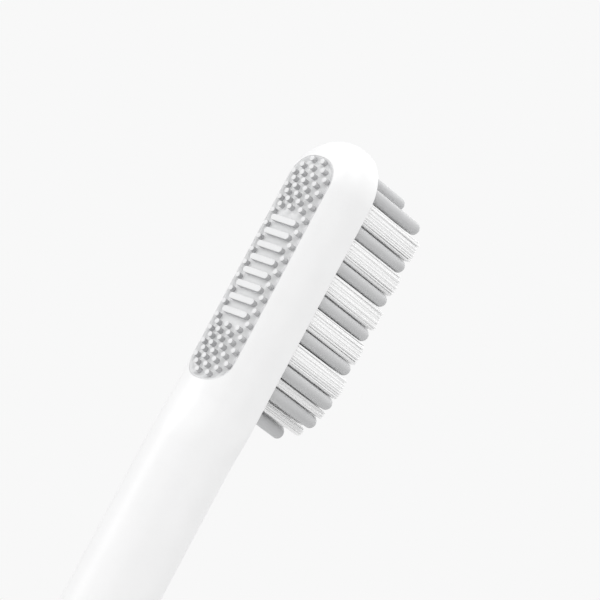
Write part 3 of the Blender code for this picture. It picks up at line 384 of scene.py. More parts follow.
def grown(name, base, group, values):
    """Run a tree of nodes on a base mesh, and give the result as a plain mesh."""
    holder = placed(name + "_base", base)
    step = holder.modifiers.new("grown", "NODES")
    step.node_group = group
    for socket in group.interface.items_tree:
        if socket.in_out == "INPUT" and socket.name in values:
            step[socket.identifier] = values[socket.name]
    graph = bpy.context.evaluated_depsgraph_get()
    shape = bmesh.new()
    shape.from_mesh(bpy.data.meshes.new_from_object(holder.evaluated_get(graph)))
    bpy.data.objects.remove(holder, do_unlink=True)
    return closed_mesh(name, shape)


coil_mesh = grown("coil_spring", bpy.data.meshes.new("coil_start"), coil_group, {
    "Radius": spring_radius, "Height": spring_high.z - spring_low.z, "Wire": spring_wire,
    "Turns": spring_turns, "Closed share": spring_closed_share, "Points": 240, "Finish": spring_steel})
coil_mesh.transform(Matrix.Translation((0.0, 0.0, spring_low.z)))
finished("coil_spring", coil_mesh, spring_steel, "drive_module", "spring_steel", "battery_spring")

# Circuit board: a strip of glass cloth laminate under green lacquer, with copper tracks on
# its face. Two screws hold it to the frame's spine.
board_lacquer = (0.012, 0.105, 0.045)
track_lacquer = (0.030, 0.190, 0.085)
board_green = moulded("board_lacquer", board_lacquer, roughness=0.34, shade=0.85,
                      sockets={"Coat Weight": 0.4})
board_tree = board_green.node_tree
board_shader = board_tree.nodes["Principled BSDF"]
board_place = add_node(board_tree, "ShaderNodeMapping", {
    "Vector": board_tree.nodes.new("ShaderNodeTexCoord").outputs["Object"],
    "Scale": (1400.0, 1400.0, 320.0)})
board_turn = add_node(board_tree, "ShaderNodeMapping", {
    "Vector": board_place, "Rotation": (math.pi / 2.0, 0.0, 0.0)})
board_tracks = add_node(board_tree, "ShaderNodeTexBrick", {
    "Vector": board_turn, "Scale": 1.0, "Mortar Size": 0.10, "Mortar Smooth": 0.15,
    "Color1": (*board_lacquer, 1.0), "Color2": (*board_lacquer, 1.0), "Mortar": (*track_lacquer, 1.0)})
board_tree.links.new(board_tracks.outputs["Color"], board_shader.inputs["Base Color"])
dressed("circuit_board", board_green)

# Board screws: small steel screws with a cross recess in a low domed head. They go through
# the board into the frame's spine.
screw_head_height = 0.0006
screw_shank_radius = 0.0005
screw_recess_half = 0.00012
screw_recess_reach = 0.00062
screw_recess_depth = 0.00035
screw_flat_share = 0.55
screw_rim_height = screw_head_height / 3.0


def facing_front(x, z, y=0.0):
    """A turn that takes +Z to the front, followed by a move to a place on the front."""
    return Matrix.Translation((x, y, z)) @ Matrix.Rotation(math.pi / 2.0, 4, "X")


def box_into(shape, low, high):
    """Add a box between two corners to a shape."""
    low = Vector(low)
    high = Vector(high)
    corners = bmesh.ops.create_cube(shape, size=1.0)["verts"]
    bmesh.ops.scale(shape, vec=high - low, verts=corners)
    bmesh.ops.translate(shape, vec=(low + high) / 2.0, verts=corners)


def cut(name, mesh, cutters):
    """Cut shapes out of a mesh, one after another, into a plain mesh."""
    target = placed(name + "_target", mesh)
    used = [target]
    for cutter in cutters:
        used.append(placed(name + "_cutter", cutter))
        step = target.modifiers.new("cut", "BOOLEAN")
        step.operation = "DIFFERENCE"
        step.object = used[-1]
        step.solver = "EXACT"
    graph = bpy.context.evaluated_depsgraph_get()
    result = bpy.data.meshes.new_from_object(target.evaluated_get(graph))
    for holder in used:
        bpy.data.objects.remove(holder, do_unlink=True)
    result.name = name
    result.shade_smooth()
    result.set_sharp_from_angle(angle=sharp_angle)
    return result


for node in ("board_screw_lower", "board_screw_upper"):
    screw_low, screw_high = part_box(node)
    screw_middle = (screw_low + screw_high) / 2.0
    screw_radius = (screw_high.x - screw_low.x) / 2.0
    screw_front = -screw_low.y
    screw_seat = screw_front - screw_head_height
    screw_outline = eased([
        (0.0, screw_front, 0.0), (screw_radius * screw_flat_share, screw_front, fine_edge),
        (screw_radius, screw_seat + screw_rim_height, fine_edge),
        (screw_radius, screw_seat, fine_edge / 2.0), (screw_shank_radius, screw_seat, fine_edge / 2.0),
        (screw_shank_radius, -screw_high.y + screw_shank_radius / 2.0, fine_edge),
        (0.0, -screw_high.y, 0.0)])
    recess = bmesh.new()
    for reach_x, reach_y in ((screw_recess_reach, screw_recess_half),
                             (screw_recess_half, screw_recess_reach)):
        box_into(recess, (-reach_x, -reach_y, screw_front - screw_recess_depth),
                 (reach_x, reach_y, screw_front + screw_head_height))
    screw_mesh = cut(node, turned_mesh(node, screw_outline, segments=32), [plain_mesh("recess", recess)])
    screw_mesh.transform(facing_front(screw_middle.x, screw_middle.z))
    finished(node.replace("board_screw", "cross_screw"), screw_mesh, bright_steel, "drive_module", "steel",
             node)

# Parts on the board: a moulded black chip with tinned legs, and a small can capacitor with a
# vent cross in its top. They are soldered to the board's face.
chip_low, chip_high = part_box("control_chip")
chip_stand = 0.0001
chip_edge = 0.00012
leg_count = 4
leg_half_width = 0.0002
leg_reach = 0.0005
leg_thickness = 0.00012
chip_black = moulded("chip_black", colour=(0.022, 0.022, 0.025), roughness=0.42, shade=0.85)
chip_shape = bmesh.new()
box_into(chip_shape, chip_low, (chip_high.x, chip_high.y - chip_stand, chip_high.z))
bmesh.ops.bevel(chip_shape, geom=chip_shape.edges, offset=chip_edge, segments=2, affect="EDGES", profile=0.5)
finished("chip_case", closed_mesh("chip_case", chip_shape), chip_black, "drive_module", "chip_black",
         "control_chip")
leg_shape = bmesh.new()
leg_pitch = (chip_high.z - chip_low.z) / leg_count
for side in (-1.0, 1.0):
    for place in range(leg_count):
        leg_z = chip_low.z + (place + 0.5) * leg_pitch
        root_x = side * (chip_high.x - chip_edge)
        knee_x = side * (chip_high.x + leg_reach / 2.0)
        end_x = side * (chip_high.x + leg_reach)
        leg_top = (chip_low.y + chip_high.y) / 2.0
        for first, last in (((root_x, leg_top), (knee_x, leg_top - leg_thickness)),
                            ((knee_x - side * leg_thickness, leg_top), (knee_x, chip_high.y)),
                            ((knee_x, chip_high.y - leg_thickness), (end_x, chip_high.y))):
            low_x, high_x = sorted((first[0], last[0]))
            low_y, high_y = sorted((first[1], last[1]))
            box_into(leg_shape, (low_x, low_y, leg_z - leg_half_width),
                     (high_x, high_y, leg_z + leg_half_width))
finished("chip_legs", closed_mesh("chip_legs", leg_shape), bright_steel, "drive_module", "steel",
         "control_chip")
can_low, can_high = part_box("capacitor")
can_middle = (can_low + can_high) / 2.0
can_radius = (can_high.x - can_low.x) / 2.0
can_waist = 0.00012
can_waist_share = 0.3
can_front = -can_low.y
can_back = -can_high.y
can_waist_z = can_back + (can_front - can_back) * can_waist_share
capacitor_outline = eased([
    (0.0, can_front, 0.0), (can_radius, can_front, 2.0 * fine_edge),
    (can_radius, can_waist_z + can_waist, fine_edge), (can_radius - can_waist, can_waist_z, fine_edge),
    (can_radius, can_waist_z - can_waist, fine_edge),
    (can_radius, can_back, fine_edge), (0.0, can_back, 0.0)])
vent = bmesh.new()
vent_half = 0.00006
vent_share = 0.7
for reach_x, reach_y in ((can_radius * vent_share, vent_half), (vent_half, can_radius * vent_share)):
    box_into(vent, (-reach_x, -reach_y, can_front - vent_half), (reach_x, reach_y, can_front + can_radius))
capacitor_mesh = cut("capacitor_can", turned_mesh("capacitor_can", capacitor_outline, segments=48),
                     [plain_mesh("vent", vent)])
capacitor_mesh.transform(facing_front(can_middle.x, can_middle.z))
finished("capacitor_can", capacitor_mesh, bright_steel, "drive_module", "steel", "capacitor")

# Push switch: a black moulded body on the board, with a pale plunger that the button's cap
# pushes. The plunger is turned smooth and has a rounded end.


def pin_outline(radius, top, bottom, top_edge, bottom_edge=fine_edge):
    """Outline of a plain solid pin between two heights."""
    return eased([(0.0, top, 0.0), (radius, top, top_edge), (radius, bottom, bottom_edge),
                  (0.0, bottom, 0.0)])


dressed("switch_body", chip_black)
natural_plastic = moulded("natural_plastic", colour=(0.76, 0.755, 0.72), roughness=0.42, shade=0.96)
plunger_low, plunger_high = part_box("switch_plunger")
plunger_middle = (plunger_low + plunger_high) / 2.0
plunger_radius = (plunger_high.x - plunger_low.x) / 2.0
plunger_outline = pin_outline(plunger_radius, -plunger_low.y, -plunger_high.y, 2.0 * fine_edge)
plunger_mesh = turned_mesh("plunger", plunger_outline, segments=32)
plunger_mesh.transform(facing_front(plunger_middle.x, plunger_middle.z))
finished("plunger", plunger_mesh, natural_plastic, "button", "natural_plastic", "switch_plunger")

# Upper casing: the part of the handle that shows above the parting line, in the same satin
# white plastic. It has a lip round the drive spigot and holes for the button and the light.
upper_low, upper_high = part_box("upper_housing")
button_low, button_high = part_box("button_cap")
button_z = (button_low.z + button_high.z) / 2.0
pipe_low, pipe_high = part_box("light_pipe")
pipe_z = (pipe_low.z + pipe_high.z) / 2.0
pipe_radius = (pipe_high.x - pipe_low.x) / 2.0
upper_wall = 0.001
upper_lip = 0.002
slip_gap = 0.00025
button_radius = 0.003
spigot_radius = 0.003575
lip_radius = spigot_radius + fit_gap
lip_bottom = upper_high.z - upper_lip
upper_outline = eased([
    (outer_radius(upper_high.z), upper_high.z, fine_edge), *flank(upper_high.z, upper_low.z),
    (outer_radius(upper_low.z), upper_low.z, fine_edge),
    (outer_radius(upper_low.z) - upper_wall, upper_low.z, fine_edge),
    *reversed(flank(lip_bottom, upper_low.z, upper_wall)),
    (outer_radius(lip_bottom) - upper_wall, lip_bottom, 0.0), (lip_radius, lip_bottom, fine_edge),
    (lip_radius, upper_high.z, fine_edge)])
hole_cutters = []
for hole_radius, hole_z in ((button_radius + slip_gap, button_z), (pipe_radius + fit_gap, pipe_z)):
    hole_front = outer_radius(hole_z) - hole_radius ** 2 / (2.0 * outer_radius(hole_z))
    cutter = turned_mesh("hole", [
        (0.0, 2.0 * body_radius),
        (hole_radius + body_radius - hole_front + fine_edge, body_radius + fine_edge),
        (hole_radius, hole_front - fine_edge), (hole_radius, button_radius), (0.0, button_radius)],
        segments=64)
    cutter.transform(facing_front(0.0, hole_z))
    hole_cutters.append(cutter)
upper_mesh = cut("upper_casing", turned_mesh("upper_casing", upper_outline), hole_cutters)
finished("upper_casing", upper_mesh, white_plastic, "drive_module", "white_plastic", "upper_housing")

# Button: a round cap of the same soft grey rubber, dished for the thumb, with a small raised
# ring. Its flange keeps it behind the casing.
button_flange = 0.00045
button_front = -button_low.y
button_back = -button_high.y
button_flange_radius = (button_high.x - button_low.x) / 2.0
button_edge = 0.0004
button_dish = 0.00015
button_ring_radius = 0.0011
button_ring = 0.00014
button_floor = button_front - button_dish
button_outline = eased([
    (0.0, button_floor, 0.0), (button_ring_radius - button_ring, button_floor, fine_edge / 2.0),
    (button_ring_radius, button_floor + button_ring, fine_edge / 2.0),
    (button_ring_radius + button_ring, button_floor, fine_edge / 2.0),
    (button_radius - 2.0 * button_edge, button_front, button_edge / 2.0),
    (button_radius, button_front, button_edge),
    (button_radius, button_back + button_flange, fine_edge / 2.0),
    (button_flange_radius, button_back + button_flange, fine_edge),
    (button_flange_radius, button_back, fine_edge), (0.0, button_back, 0.0)])
button_mesh = turned_mesh("button_pad", button_outline)
button_mesh.transform(facing_front(0.0, button_z))
finished("button_pad", button_mesh, grey_rubber, "button", "grey_rubber", "button_cap")

# Light: a small lamp on the board and the clear plastic pipe that brings its light to the
# front. The pipe is pressed into its hole and ends in a low dome.
clear_plastic = moulded("clear_plastic", colour=(0.90, 0.92, 0.93), roughness=0.12, grain_depth=0.0000005,
                        roughness_spread=0.03, sockets={"Coat Weight": 0.5})
lamp_plastic = moulded("lamp_plastic", colour=(0.86, 0.84, 0.62), roughness=0.30,
                       sockets={"Coat Weight": 0.3})
dressed("indicator_lamp", lamp_plastic)
pipe_dome = 0.0003
pipe_outline = pin_outline(pipe_radius, -pipe_low.y, -pipe_high.y, pipe_dome)
pipe_mesh = turned_mesh("light_window", pipe_outline, segments=48)
pipe_mesh.transform(facing_front(0.0, pipe_z))
finished("light_window", pipe_mesh, clear_plastic, "drive_module", "clear_plastic", "light_pipe")

# Drive spigot: a hollow nose of pale hard plastic that the brush head is pushed on to. Its
# flange sits under the upper casing's lip, and the motor is inside.
spigot_low, spigot_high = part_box("drive_spigot")
spigot_wall = 0.0005
spigot_flange_radius = spigot_high.x
spigot_flange_top = lip_bottom - fit_gap
spigot_flange_height = 0.003
spigot_roof = 0.002
spigot_nose = 0.0012
spigot_bore = spigot_radius - spigot_wall
spigot_outline = eased([
    (0.0, spigot_high.z, 0.0), (spigot_radius, spigot_high.z, spigot_nose),
    (spigot_radius, spigot_flange_top, fine_edge), (spigot_flange_radius, spigot_flange_top, fine_edge),
    (spigot_flange_radius, spigot_flange_top - spigot_flange_height, fine_edge),
    (spigot_radius, spigot_flange_top - spigot_flange_height, fine_edge),
    (spigot_radius, spigot_low.z, fine_edge), (spigot_bore, spigot_low.z, fine_edge),
    (spigot_bore, spigot_high.z - spigot_roof, fine_edge), (0.0, spigot_high.z - spigot_roof, 0.0)])
turned_piece("spigot", spigot_outline, natural_plastic, "drive_module", "natural_plastic", "drive_spigot")

# Motor: a drawn steel can in a rubber sleeve, closed below by a pale cap. It is pushed into
# the spigot from below.
motor_low, motor_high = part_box("motor_can")
motor_radius = motor_high.x
motor_boss_radius = 0.0009
motor_boss_height = 0.0004
motor_top = motor_high.z - motor_boss_height
shaft_bore = 0.00048
shaft_low, shaft_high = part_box("motor_shaft")
motor_outline = eased([
    (shaft_bore, motor_high.z, 0.0), (motor_boss_radius, motor_high.z, fine_edge),
    (motor_boss_radius, motor_top, fine_edge), (motor_radius, motor_top, 2.0 * fine_edge),
    (motor_radius, motor_low.z, fine_edge), (shaft_bore, motor_low.z, 0.0)])
turned_piece("motor_case", motor_outline, bright_steel, "drive_module", "steel", "motor_can", segments=64)
sleeve_low, sleeve_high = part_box("motor_sleeve")
sleeve_bore = motor_radius + fit_gap
sleeve_outline = eased([
    (sleeve_high.x, sleeve_high.z, fine_edge), (sleeve_high.x, sleeve_low.z, fine_edge),
    (sleeve_bore, sleeve_low.z, 0.0), (sleeve_bore, sleeve_high.z, 0.0)])
turned_piece("motor_jacket", sleeve_outline, black_rubber, "drive_module", "black_rubber", "motor_sleeve",
             segments=64)
end_low, end_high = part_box("motor_end_cap")
end_outline = pin_outline(end_high.x, end_high.z, end_low.z, fine_edge, 2.0 * fine_edge)
turned_piece("motor_plug", end_outline, natural_plastic, "drive_module", "natural_plastic", "motor_end_cap",
             segments=64)

# Shaft and weight: a ground steel shaft with a half round weight of sintered tungsten pressed
# on it. Its turning off centre is what shakes the head.
shaft_outline = pin_outline(shaft_high.x, shaft_high.z, shaft_low.z, fine_edge)
turned_piece("shaft", shaft_outline, bright_steel, "rotor", "steel", "motor_shaft", segments=32)
dressed("eccentric_weight", moulded("sintered_tungsten", colour=(0.20, 0.20, 0.21), roughness=0.42,
                                    grain_size=0.00008, grain_depth=0.000004, shade=0.85,
                                    sockets={"Metallic": 1.0}))

# Motor leads: two thin stranded wires in plastic insulation, one red and one black. They are
# soldered to the board and run up to the motor's cap.
lead_radius = 0.0003
lead_pull = 0.0035
lead_steps = 20
lead_group, lead_in, lead_out = mesh_tree("insulated_lead", {
    "Radius": "Float", "Sides": "Int", "Finish": "Material"})
lead_line = add_node(lead_group, "GeometryNodeMeshToCurve", {"Mesh": lead_in["Geometry"]})
lead_section = add_node(lead_group, "GeometryNodeCurvePrimitiveCircle", {
    "Resolution": lead_in["Sides"], "Radius": lead_in["Radius"]})
lead_tube = add_node(lead_group, "GeometryNodeCurveToMesh", {
    "Curve": lead_line, "Profile Curve": lead_section, "Fill Caps": True})
end_tree(lead_group, lead_tube, lead_in["Finish"], lead_out)
for node, lead_slot, lead_colour in (("motor_lead_left", "wire_black", (0.020, 0.020, 0.022)),
                                     ("motor_lead_right", "wire_red", (0.42, 0.020, 0.015))):
    lead_low, lead_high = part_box(node)
    lead_x = (lead_low.x + lead_high.x) / 2.0
    lead_start = Vector((lead_x, lead_low.y + lead_radius, lead_low.z))
    lead_end = Vector((lead_x, lead_high.y - lead_radius, lead_high.z))
    upwards = Vector((0.0, 0.0, lead_pull))
    lead_points = []
    for step in range(lead_steps + 1):
        share = step / lead_steps
        rest = 1.0 - share
        lead_points.append(rest ** 3 * lead_start + 3.0 * rest ** 2 * share * (lead_start + upwards)
                           + 3.0 * rest * share ** 2 * (lead_end - upwards) + share ** 3 * lead_end)
    lead_path = bpy.data.meshes.new("lead_path")
    lead_path.from_pydata(lead_points, [(step, step + 1) for step in range(lead_steps)], [])
    insulation = moulded(lead_slot + "_insulation", lead_colour, roughness=0.40, shade=0.85)
    lead_mesh = grown(node, lead_path, lead_group, {
        "Radius": lead_radius, "Sides": 14, "Finish": insulation})
    finished(node.replace("motor_lead", "insulated_lead"), lead_mesh, insulation, "drive_module", lead_slot,
             node)

# Coupling: a liner of pale hard plastic pressed into the neck's bore. It grips the spigot and
# carries the motor's shaking into the head.
coupling_low, coupling_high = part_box("coupling_sleeve")
coupling_wall = 0.00035
coupling_bore = coupling_high.x - coupling_wall
coupling_outline = eased([
    (coupling_high.x, coupling_high.z, fine_edge), (coupling_high.x, coupling_low.z, fine_edge),
    (coupling_bore, coupling_low.z, fine_edge), (coupling_bore, coupling_high.z, fine_edge)])
turned_piece("coupling_liner", coupling_outline, natural_plastic, "brush_head", "natural_plastic",
             "coupling_sleeve")

# Joint ring: a thin soft ring between the brush head and the handle, in the same grey rubber.
# It takes up the play and marks where the head is pulled off.
ring_low, ring_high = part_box("joint_ring")
ring_outline = eased([
    (outer_radius(ring_high.z), ring_high.z, fine_edge), (outer_radius(ring_low.z), ring_low.z, fine_edge),
    (coupling_bore, ring_low.z, fine_edge), (coupling_bore, ring_high.z, fine_edge)])
turned_piece("soft_joint_ring", ring_outline, grey_rubber, "brush_head", "grey_rubber", "joint_ring")

# Neck and head: one moulding of satin white plastic, round at the neck and domed on the back,
# with a flat front. It has pockets for the rubber pad, the bristles' plate and the rods' web.
tip_z = head_high.z
head_half_width = 0.00495
head_crown = 0.0044
head_face = 0.0027
head_face_lean = 0.00005
head_face_edge = 0.00015
head_crown_power = 2.4
head_round_power = 2.0
head_morph_length = 0.0062
cap_side_length = 0.0065
cap_back_length = 0.0071
cap_centre_y = -0.001
cap_face_power = 0.35
rim_wall = 0.0003
pad_recess = 0.0003
pad_depth = 0.0012
pad_low, pad_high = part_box("tongue_pad")
plate_low, plate_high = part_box("bristle_field")
web_low, web_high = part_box("soft_fingers")
plate_half_width = head_half_width - head_face_lean - rim_wall - fit_gap
web_half_width = web_high.x
face_margin = 0.00085
morph_bottom = plate_low.z - rim_wall - face_margin - head_morph_length
side_zone_share = 2.0 / 7.0
edge_zone_share = 4.0 / 7.0
side_steps = 6
edge_steps = 6
face_steps = 14
crown_steps = 96
neck_taper_steps = 16
neck_steps = 10
morph_steps = 28
straight_steps = 24
tip_steps = 48
slab_edge_steps = 4
bore_spare = 0.001
plate_thickness = 0.0009
pad_end_power = 2.35


def head_sizes(z, inset):
    """Half width, crown, roundness and share of the flat-faced form, for the head at a height."""
    morph = smooth_share((z - morph_bottom) / head_morph_length)
    radius = outer_radius(z)
    half_width = radius + (head_half_width - radius) * morph - inset
    crown = radius + (head_crown - radius) * morph - inset
    return half_width, crown, head_round_power + (head_crown_power - head_round_power) * morph, morph


def cap_share(z, length, inset):
    """How much of the head is left at a height in its round tip, which begins at a length from its end."""
    into_cap = (z - (tip_z - length)) / (length - inset)
    return math.sqrt(max(0.0, 1.0 - max(0.0, into_cap) ** 2))


def capped(x, y, z, inset):
    """Draw a section's point in towards the tip's centre."""
    side_share = cap_share(z, cap_side_length, inset)
    back_share = cap_share(z, cap_back_length, inset)
    front_share = side_share ** cap_face_power
    towards_back = smooth_share((y - cap_centre_y) / -cap_centre_y)
    depth_share = front_share + (back_share - front_share) * towards_back
    return x * side_share, cap_centre_y + (y - cap_centre_y) * depth_share


def front_point(share, half_width, inset):
    """A point on the head's flat-faced front, from its side at 0 to the middle of the face at 1."""
    face = head_face - inset
    edge_x = half_width - head_face_lean
    flat_x = edge_x - head_face_edge
    if share < side_zone_share:
        along = share / side_zone_share
        return half_width - head_face_lean * along, -(face - head_face_edge) * along
    if share < edge_zone_share:
        turn = 0.5 * math.pi * (share - side_zone_share) / (edge_zone_share - side_zone_share)
        return (flat_x + head_face_edge * math.cos(turn),
                -(face - head_face_edge) - head_face_edge * math.sin(turn))
    return flat_x * (1.0 - share) / (1.0 - edge_zone_share), -face


def head_section(z, inset):
    """Points round the head's section at a height, from its right side over the back."""
    half_width, crown, power, morph = head_sizes(z, inset)
    radius = outer_radius(z) - inset
    points = []
    for step in range(crown_steps + 1):
        turn = math.pi * step / crown_steps
        x = math.copysign(half_width * abs(math.cos(turn)) ** (2.0 / power), math.cos(turn))
        points.append((x, crown * max(0.0, math.sin(turn)) ** (2.0 / power)))
    shares = [side_zone_share * step / side_steps for step in range(1, side_steps)]
    shares += [side_zone_share + (edge_zone_share - side_zone_share) * step / edge_steps
               for step in range(edge_steps)]
    shares += [edge_zone_share + (1.0 - edge_zone_share) * step / face_steps
               for step in range(face_steps + 1)]
    front = []
    for share in shares:
        flat_x, flat_y = front_point(share, half_width, inset)
        round_x = radius * math.cos(0.5 * math.pi * share)
        round_y = -radius * math.sin(0.5 * math.pi * share)
        front.append((round_x + (flat_x - round_x) * morph, round_y + (flat_y - round_y) * morph))
    return points + [(-x, y) for x, y in front] + list(reversed(front[:-1]))


def back_y(x, z, inset):
    """How far back the head's crown lies at a place."""
    half_width, crown, power, _ = head_sizes(z, inset)
    across = min(1.0, abs(x) / (half_width * cap_share(z, cap_side_length, inset)))
    return capped(0.0, crown * (1.0 - across ** power) ** (1.0 / power), z, inset)[1]


def face_y(x, z, inset):
    """Where the head's flat front lies at a height, drawn in at the tip."""
    return capped(x, -(head_face - inset), z, inset)[1]


def spread(low, high, steps):
    """Even places from one value up to, but without, another."""
    return [low + (high - low) * step / steps for step in range(steps)]


def bridge(shape, rings):
    """Close the first ring of points, and make the faces between each ring and the next."""
    for lower, upper in zip(rings, rings[1:]):
        for index, corner in enumerate(lower):
            after = (index + 1) % len(lower)
            shape.faces.new((corner, lower[after], upper[after], upper[index]))
    shape.faces.new(rings[0])


def head_mesh(name):
    """The outside of the neck and head, lofted through its sections and closed at both ends."""
    heights = [head_low.z, head_low.z + fine_edge]
    heights += spread(head_low.z + 2.0 * fine_edge, taper_top, neck_taper_steps)
    heights += spread(taper_top, morph_bottom, neck_steps)
    heights += spread(morph_bottom, morph_bottom + head_morph_length, morph_steps)
    heights += spread(morph_bottom + head_morph_length, tip_z - cap_back_length, straight_steps)
    heights += [tip_z - cap_back_length * (1.0 - math.sin(0.5 * math.pi * step / tip_steps))
                for step in range(tip_steps)]
    shape = bmesh.new()
    rings = []
    for z in heights:
        draw_in = fine_edge if z == head_low.z else 0.0
        section = [capped(x, y, z, 0.0) for x, y in head_section(z, draw_in)]
        rings.append([shape.verts.new((x, y, z)) for x, y in section])
    bridge(shape, rings)
    tip = shape.verts.new((0.0, cap_centre_y, tip_z))
    for index, corner in enumerate(rings[-1]):
        shape.faces.new((corner, rings[-1][(index + 1) % len(rings[-1])], tip))
    return closed_mesh(name, shape)


def eased_share(share, power):
    """A sine or cosine, bent so that a round end comes out fuller where the power is above 2."""
    return math.copysign(abs(share) ** (2.0 / power), share)


def stadium(half_width, bottom, top, inset, end_power, steps=24):
    """A long outline with round ends, drawn in by an inset."""
    radius = half_width - inset
    outline = []
    for centre_z, first_turn in ((top - half_width, 0.0), (bottom + half_width, math.pi)):
        for step in range(steps + 1):
            turn = first_turn + math.pi * step / steps
            outline.append((radius * eased_share(math.cos(turn), end_power),
                            centre_z + radius * eased_share(math.sin(turn), end_power)))
    return outline


def stadium_slab(name, half_width, bottom, top, floor, face, edge, rings=12, end_power=2.0):
    """A slab with a stadium outline, from a flat floor to a curved face with an eased edge."""
    outwards = math.copysign(1.0, face(0.0, (bottom + top) / 2.0) - floor)
    turns = [0.5 * math.pi * step / slab_edge_steps for step in range(slab_edge_steps + 1)]
    layers = [(edge * (1.0 - math.cos(turn)), edge * (1.0 - math.sin(turn))) for turn in turns]
    layers += [(edge + (half_width - edge) * step / rings, 0.0) for step in range(1, rings + 1)]
    shape = bmesh.new()
    loops = [[shape.verts.new((x, floor, z)) for x, z in stadium(half_width, bottom, top, 0.0, end_power)]]
    for inset, drop in layers:
        loops.append([shape.verts.new((x, face(x, z) - outwards * drop, z))
                      for x, z in stadium(half_width, bottom, top, inset, end_power)])
    bridge(shape, loops)
    return closed_mesh(name, shape)


pad_floor = head_crown - pad_recess - pad_depth
pocket_reach = 2.0 * body_radius
head_bore_top = spigot_high.z + bore_spare
seat_top = coupling_high.z + fit_gap
neck_bore = coupling_high.x + fit_gap
bore_mesh = turned_mesh("head_bore", [
    (0.0, head_bore_top), (coupling_bore, head_bore_top), (coupling_bore, seat_top), (neck_bore, seat_top),
    (neck_bore, head_low.z - pocket_reach), (0.0, head_low.z - pocket_reach)], segments=64)
pad_pocket = stadium_slab("pad_pocket", pad_high.x + fit_gap, pad_low.z - fit_gap, pad_high.z + fit_gap,
                          pad_floor - fit_gap, lambda x, z: pocket_reach, fine_edge, end_power=pad_end_power)
plate_back = head_face - plate_thickness
plate_pocket = stadium_slab("plate_pocket", plate_half_width + fit_gap, plate_low.z - fit_gap,
                            plate_high.z + fit_gap, -(plate_back - fit_gap), lambda x, z: -pocket_reach,
                            fine_edge)
web_pocket = stadium_slab("web_pocket", web_half_width + fit_gap, web_low.z - fit_gap, web_high.z + fit_gap,
                          web_high.y + fit_gap, lambda x, z: -pocket_reach, fine_edge)
shell_mesh = cut("neck_and_head", head_mesh("neck_and_head"),
                 [bore_mesh, pad_pocket, plate_pocket, web_pocket])
finished("neck_and_head", shell_mesh, white_plastic, "brush_head", "white_plastic", "brush_head_shell")

# Rubber pad: a long pad of soft grey rubber, moulded into the pocket on the back of the head.
# It is covered in small round studs that taper a little, with plain cross ribs in the middle.
stud_spacing_across = 0.000843
stud_spacing_along = 0.000867
stud_radius = 0.00036
stud_top_radius = 0.00033
stud_height = 0.0005
stud_root = 0.0006
stud_edge = 0.00007
stud_margin = 0.0002
rib_zone_from_end = 0.0076
rib_half_width = 0.00038
rib_half_length = 0.002
pad_edge = 0.00004
pad_seam = 0.00002
pad_rim_sink = 0.00003
pad_middle_sink = 0.00055
pad_shoulder = 0.0006
pad_half_width = pad_high.x + fit_gap
pad_length = pad_high.z - pad_low.z + 2.0 * fit_gap
pad_middle = (pad_high.z + pad_low.z) / 2.0
straight_half = pad_length / 2.0 - pad_half_width


def pad_face(x, z):
    """How far back the pad's surface lies: near the head's own at the pad's edge, sunk further in."""
    beyond = max(0.0, abs(z - pad_middle) - straight_half)
    from_middle = (abs(x) ** pad_end_power + beyond ** pad_end_power) ** (1.0 / pad_end_power)
    sunk_share = smooth_share((pad_half_width - from_middle) / pad_shoulder)
    return back_y(x, z, pad_rim_sink + (pad_middle_sink - pad_rim_sink) * sunk_share)


copies_group, copies_in, copies_out = mesh_tree("copies_on_places", {
    "Shape": "Object", "Finish": "Material"})
copies_shape = add_node(copies_group, "GeometryNodeObjectInfo", {"Object": copies_in["Shape"]})
copies_stretch = add_node(copies_group, "GeometryNodeInputNamedAttribute", {"Name": "stretch"},
                          data_type="FLOAT")
copies_scale = add_node(copies_group, "ShaderNodeCombineXYZ", {
    "X": 1.0, "Y": copies_stretch, "Z": 1.0})
copies_made = add_node(copies_group, "GeometryNodeInstanceOnPoints", {
    "Points": copies_in["Geometry"], "Instance": copies_shape.outputs["Geometry"],
    "Scale": copies_scale})
end_tree(copies_group, copies_made, copies_in["Finish"], copies_out)


def keep_numbers(mesh, name, numbers, domain="POINT"):
    """Keep a named number for each point or face of a mesh."""
    mesh.attributes.new(name, "FLOAT", domain).data.foreach_set("value", numbers)


def copies(name, shape_mesh, places, material, stretches=None):
    """Copies of a small shape on a list of places, stretched along Y where stretches are given."""
    holder = placed(name + "_shape", shape_mesh)
    base = bpy.data.meshes.new(name + "_places")
    base.from_pydata(places, [], [])
    keep_numbers(base, "stretch", stretches or [1.0] * len(places))
    made = grown(name, base, copies_group, {"Shape": holder, "Finish": material})
    bpy.data.objects.remove(holder, do_unlink=True)
    return made


def joined(name, meshes):
    """Several meshes as one, each kept as a closed shell of its own."""
    shape = bmesh.new()
    for mesh in meshes:
        shape.from_mesh(mesh)
    return plain_mesh(name, shape)


stud_mesh = turned_mesh("stud", eased([
    (0.0, stud_height, 0.0), (stud_top_radius, stud_height, stud_edge), (stud_radius, -stud_root, 0.0),
    (0.0, -stud_root, 0.0)], steps=3), segments=16)
stud_mesh.transform(Matrix.Rotation(-math.pi / 2.0, 4, "X"))
round_end = pad_half_width - stud_radius - stud_margin
rib_zone_half = pad_length / 2.0 - rib_zone_from_end
columns = int(round_end / stud_spacing_across)
rows = int(pad_length / 2.0 / stud_spacing_along)
stud_places = []
for column in range(-columns, columns + 1):
    for row in range(-rows, rows + 1):
        x = column * stud_spacing_across
        along = row * stud_spacing_along
        beyond = max(0.0, abs(along) - straight_half)
        in_ribs = abs(column) < columns and abs(along) < rib_zone_half
        if (column + row) % 2 == 0 or math.hypot(x, beyond) > round_end or in_ribs:
            continue
        fall = head_crown - pad_recess - back_y(0.0, pad_middle + along, pad_recess)
        z = pad_middle + along + fall
        stud_places.append((x, back_y(x, z, pad_recess), z))
